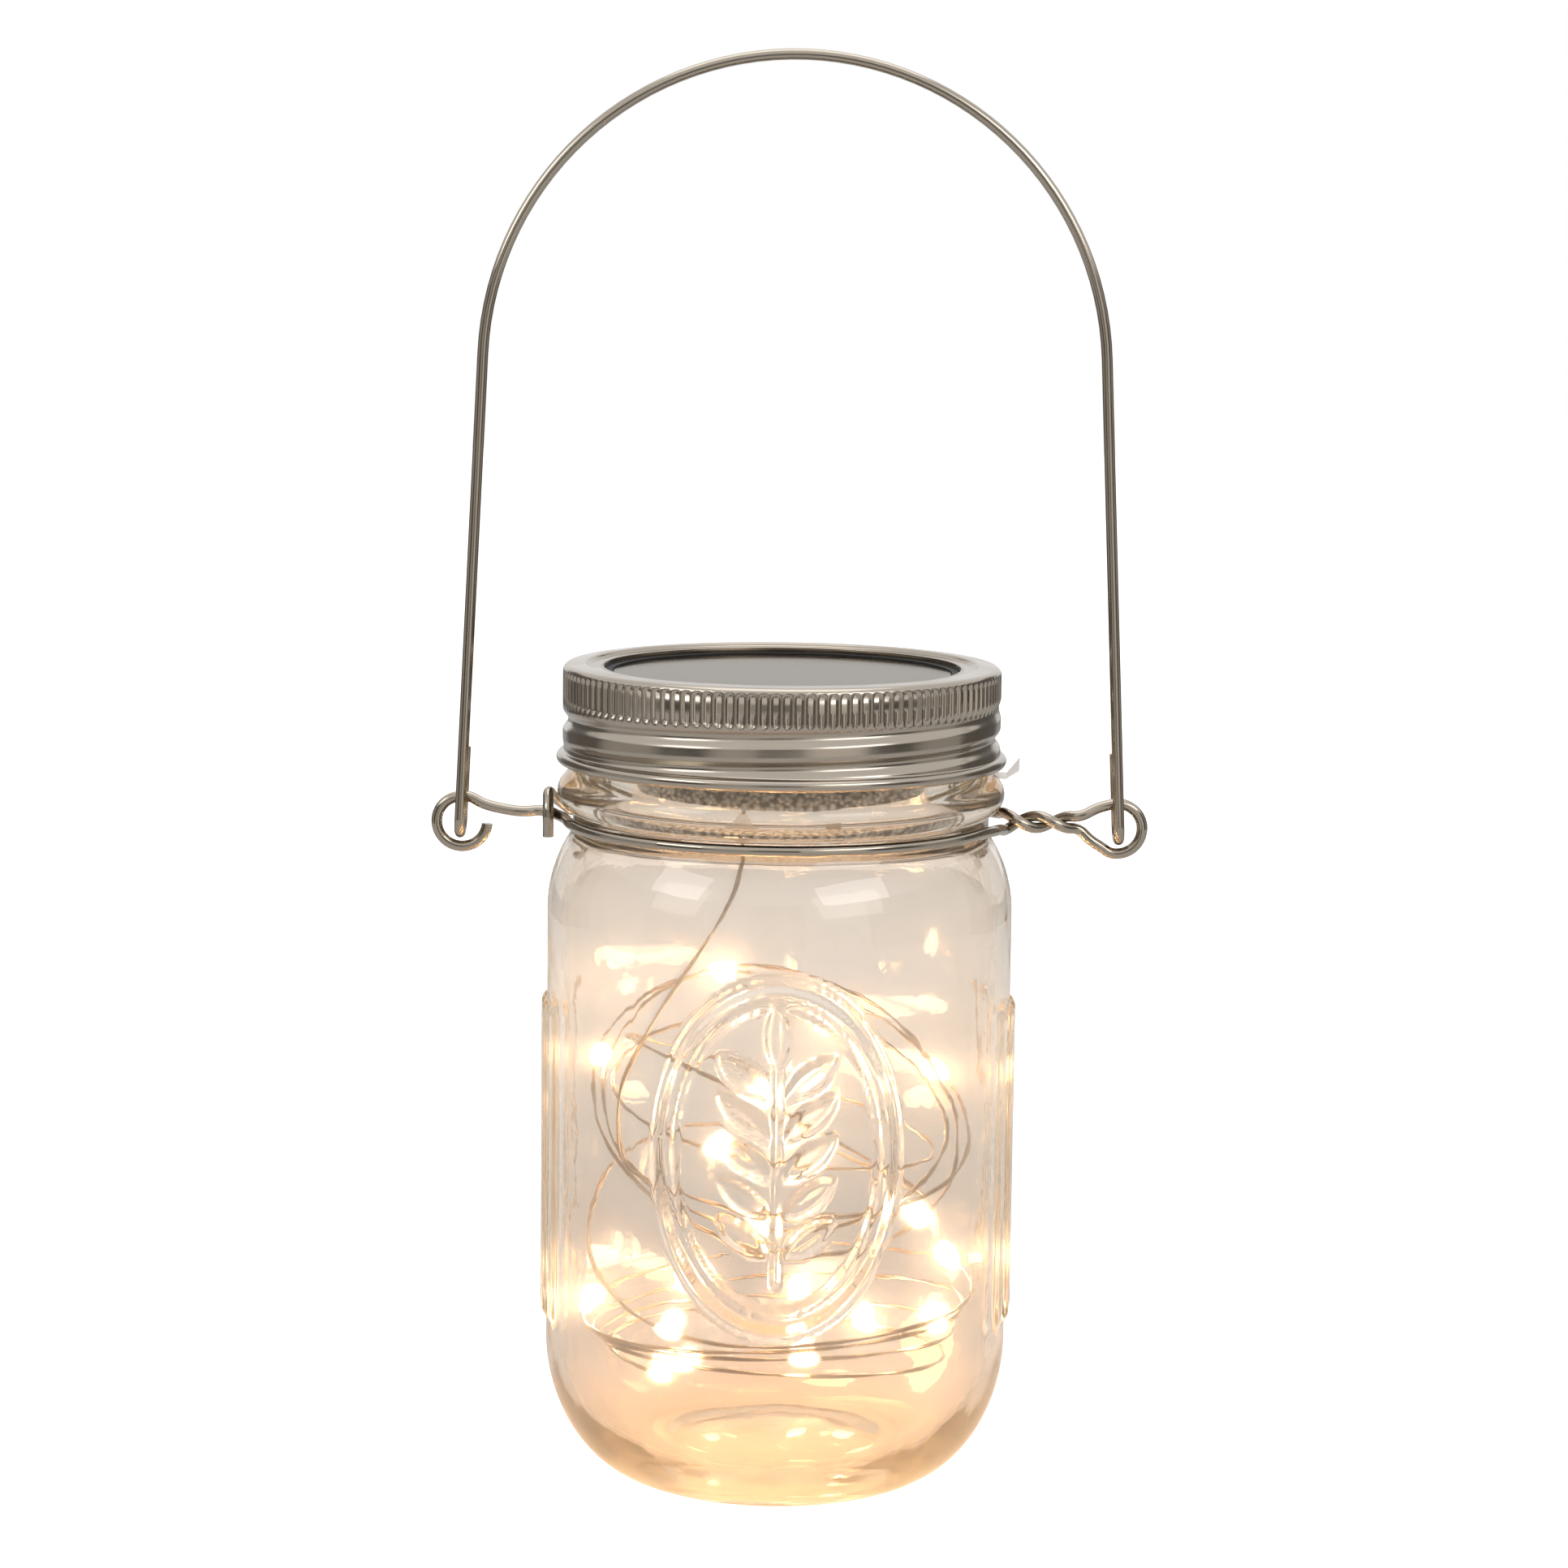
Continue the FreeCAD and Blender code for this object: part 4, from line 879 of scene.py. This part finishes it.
def loose_centres(mesh):
    """Middles of a mesh's separate drops: the points within reach of a first point are one drop."""
    count = len(mesh.vertices)
    corners = np.zeros(count * 3)
    mesh.vertices.foreach_get("co", corners)
    corners = corners.reshape(-1, 3)
    centres = []
    left = np.ones(count, bool)
    while left.any():
        seed = corners[np.argmax(left)]
        near = left & (np.linalg.norm(corners - seed, axis=1) < DROP_REACH * DROP_LONG * MM)
        centres.append((corners[near].min(0) + corners[near].max(0)) / 2)
        left &= ~near
    return np.array(centres)


light_places = loose_centres(nodes["led_beads"].data)
nearest = np.argmin(np.linalg.norm(light_line[None, :, :] - light_places[:, None, :], axis=-1), axis=1)
steps = np.linspace(-1, 1, DROP_ROWS)
drop_size = DROP_R * np.sqrt(np.maximum(DROP_TIP, 1 - steps ** 2)) * MM
drops = []
for index in nearest:
    spine = light_line[index] + along[index] * (steps * DROP_LONG / 2 * MM)[:, None]
    facing = [np.broadcast_to(direction[index], spine.shape) for direction in (side, up)]
    drops.append(tube_grid(spine, *facing, drop_size, DROP_SIDES))
lights = tubes_piece("light_drops", drops, light_resin())
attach(lights, "insert")
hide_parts("led_beads")

# %% [markdown]
# The studio has a white floor. It is matt paint, helped by a glow of its own so that it is white in the
# picture. Through the glass the floor close to the jar is seen as it is lit, so the warm pool under it
# shows. From below the floor is clear, so that the base can be looked at.

# %% Floor
POOL_INNER, POOL_OUTER = 0.12, 0.5
OPEN_INNER, OPEN_OUTER = 0.16, 0.64
FLOOR_LIFT, GLASS_LIFT = 0.7, 0.34
FLOOR_PAINT, WHITE = "#E7E6E5", "#FFFFFF"
SWEEP = 3.0


def white_stage():
    """Matt paint plus a glow: strong to the camera, and through glass weak and only far from the jar."""
    material, tree = new_material("white_sweep")
    rays = add(tree, "ShaderNodeLightPath")
    place = add(tree, "ShaderNodeTexCoord").outputs["Object"]
    away = add(tree, "ShaderNodeVectorMath", {"operation": "LENGTH"}, i0=place).outputs["Value"]
    own = add(tree, "ShaderNodeMapRange", Value=away, From_Min=OPEN_INNER, From_Max=OPEN_OUTER,
              To_Min=FLOOR_LIFT, To_Max=1.0)
    far = add(tree, "ShaderNodeMapRange", {"interpolation_type": "SMOOTHSTEP"}, Value=away,
              From_Min=POOL_INNER, From_Max=POOL_OUTER, To_Max=GLASS_LIFT)
    through = add(tree, "ShaderNodeMath", {"operation": "MULTIPLY"},
                  i0=rays.outputs["Is Transmission Ray"], i1=far.outputs["Result"])
    seen = add(tree, "ShaderNodeMath", {"operation": "MULTIPLY"}, i0=rays.outputs["Is Camera Ray"],
               i1=own.outputs["Result"])
    lift = add(tree, "ShaderNodeMath", {"operation": "MAXIMUM"}, i0=seen.outputs["Value"],
               i1=through.outputs["Value"])
    paint = add(tree, "ShaderNodeBsdfDiffuse", Color=linear(FLOOR_PAINT))
    glow = add(tree, "ShaderNodeEmission", Color=linear(WHITE), Strength=lift.outputs["Value"])
    both = add(tree, "ShaderNodeAddShader", i0=paint.outputs["BSDF"], i1=glow.outputs["Emission"])
    under = add(tree, "ShaderNodeNewGeometry").outputs["Backfacing"]
    open_below = add(tree, "ShaderNodeBsdfTransparent")
    sided = add(tree, "ShaderNodeMixShader", i0=under, i1=both.outputs["Shader"],
                i2=open_below.outputs["BSDF"])
    add(tree, "ShaderNodeOutputMaterial", Surface=sided.outputs["Shader"])
    return material


floor_corners = SWEEP * np.array([(-1, -1, 0), (1, -1, 0), (1, 1, 0), (-1, 1, 0)])
floor = mesh_object("floor", floor_corners, [(0, 1, 2, 3)], white_stage(), smooth=False)
print("floor", 2 * SWEEP, "m wide")

# %% [markdown]
# The background is white to the camera, in reflections and through the glass. As a source of light it
# is dimmer, so that the lamps shape the object.

# %% Background
SKY_LEVEL = 0.45
world = bpy.data.worlds.new("studio")
world.use_nodes = True
studio = world.node_tree
studio.nodes.clear()
rays = add(studio, "ShaderNodeLightPath")
white = rays.outputs["Is Camera Ray"]
for ray_kind in ("Is Glossy Ray", "Is Transmission Ray"):
    white = add(studio, "ShaderNodeMath", {"operation": "MAXIMUM"}, i0=white,
                i1=rays.outputs[ray_kind]).outputs["Value"]
level = add(studio, "ShaderNodeMapRange", Value=white, To_Min=SKY_LEVEL, To_Max=1.0)
sky = add(studio, "ShaderNodeBackground", Color=linear(WHITE), Strength=level.outputs["Result"])
add(studio, "ShaderNodeOutputWorld", Surface=sky.outputs["Background"])
bpy.context.scene.world = world
print("background", world.name, "lights at", SKY_LEVEL)

# %% [markdown]
# Metal shows what stands round it. A photographer darkens it with grey cards, so a ring of cards of
# several greys stands in front of the object, low down. They are met by reflections alone.

# %% Grey cards
CARD_FAR, CARD_FOOT, CARD_TALL, CARD_STEPS, CARD_TINT = 0.6, 0.002, 0.36, 5, "#FFFAF3"
CARDS = [(-150, -105, 0.15), (-105, -66, 0.5), (-66, -36, 0.12), (-36, -12, 0.6), (-12, 12, 0.28),
         (12, 44, 0.9), (44, 74, 0.14), (74, 105, 0.5), (105, 150, 0.15)]


def grey_card(name, start_deg, end_deg, grey):
    """A patch of upright wall: radius fixed, azimuth from start to end, 0 being straight in front."""
    material, tree = new_material(name)
    tone = add(tree, "ShaderNodeEmission", Color=linear(CARD_TINT), Strength=grey)
    add(tree, "ShaderNodeOutputMaterial", Surface=tone.outputs["Emission"])
    material.cycles.emission_sampling = "NONE"
    turn = np.radians(np.linspace(start_deg, end_deg, CARD_STEPS + 1))
    height = np.full(len(turn), CARD_FOOT)
    foot = np.stack([CARD_FAR * np.sin(turn), -CARD_FAR * np.cos(turn), height], axis=-1)
    points = np.concatenate([foot, foot + [0, 0, CARD_TALL]])
    low = np.arange(CARD_STEPS)
    high = low + len(turn)
    card = mesh_object(name, points, np.stack([low, low + 1, high + 1, high], axis=-1).tolist(), material)
    for rays_off in ("camera", "diffuse", "transmission", "volume_scatter", "shadow"):
        setattr(card, "visible_" + rays_off, False)


for index, card_size in enumerate(CARDS):
    grey_card("grey_card_%d" % index, *card_size)
print("grey cards", len(CARDS))

# %% [markdown]
# A soft box stands on each side and one hangs above. Small warm lamps sit inside the jar by the lights,
# drawn in a little and lifted by 3 mm, so that a drop hides less of its own lamp.

# %% Lamps
SOFT_BOXES = [
    ("left_box", (-0.75, -0.5, 0.6), (0.45, 0.5), 2.0),
    ("right_box", (0.6, -0.7, 0.62), (0.6, 0.4), 2.4),
    ("top_box", (0.0, 0.1, 0.95), (0.7, 0.7), 2.0),
]
AIM = Vector((0, 0, 0.09))
CHIP_WATTS, CHIP_COLOUR, CHIP_SIZE, CHIP_INWARD, CHIP_UP = 0.009, "#FFD9AE", 0.002, 0.96, 0.003


def hang(lamp, place):
    """Puts a lamp into the scene at a place, in metres."""
    holder = bpy.data.objects.new(lamp.name, lamp)
    holder.location = place
    bpy.context.scene.collection.objects.link(holder)
    return holder


for name, place, size, watts in SOFT_BOXES:
    lamp = bpy.data.lights.new(name, "AREA")
    lamp.shape = "RECTANGLE"
    lamp.size, lamp.size_y = size
    lamp.energy = watts
    holder = hang(lamp, place)
    holder.rotation_euler = (AIM - Vector(place)).to_track_quat("-Z", "Y").to_euler()

for place in light_places:
    lamp = bpy.data.lights.new("warm_chip", "POINT")
    lamp.energy = CHIP_WATTS
    lamp.color = linear(CHIP_COLOUR)[:3]
    lamp.shadow_soft_size = CHIP_SIZE
    hang(lamp, place * CHIP_INWARD + np.array([0, 0, CHIP_UP]))
print("soft boxes", len(SOFT_BOXES), "warm chips", len(light_places))

# %% [markdown]
# The camera stands a little above the lid and looks down by eight degrees, as the photograph does.
# Light crosses many walls of glass on its way, so it is allowed many bounces.

# %% Camera
FRAME_PX, FOCAL_PX, SENSOR = 1932, 5132, 36.0
CAMERA_BACK, CAMERA_UP, CAMERA_X = 0.700, 0.2164, 0.0005
PITCH, ROLL_ANGLE = 0.138, 0.0118
camera = bpy.data.cameras.new("camera")
camera.sensor_width = SENSOR
camera.lens = SENSOR * FOCAL_PX / FRAME_PX
camera.clip_start = 0.01
viewer = bpy.data.objects.new("camera", camera)
viewer.matrix_world = (Matrix.Translation((CAMERA_X, -CAMERA_BACK, CAMERA_UP))
                       @ Matrix.Rotation(math.pi / 2 - PITCH, 4, "X") @ Matrix.Rotation(ROLL_ANGLE, 4, "Z"))
bpy.context.scene.collection.objects.link(viewer)
bpy.context.scene.camera = viewer
bpy.context.scene.view_settings.view_transform = "Standard"
cycles = bpy.context.scene.cycles
cycles.max_bounces = 24
cycles.transmission_bounces = 20
cycles.transparent_max_bounces = 24
cycles.glossy_bounces = 8
cycles.caustics_refractive = False
cycles.caustics_reflective = False
print("camera lens", round(camera.lens, 1), "mm")
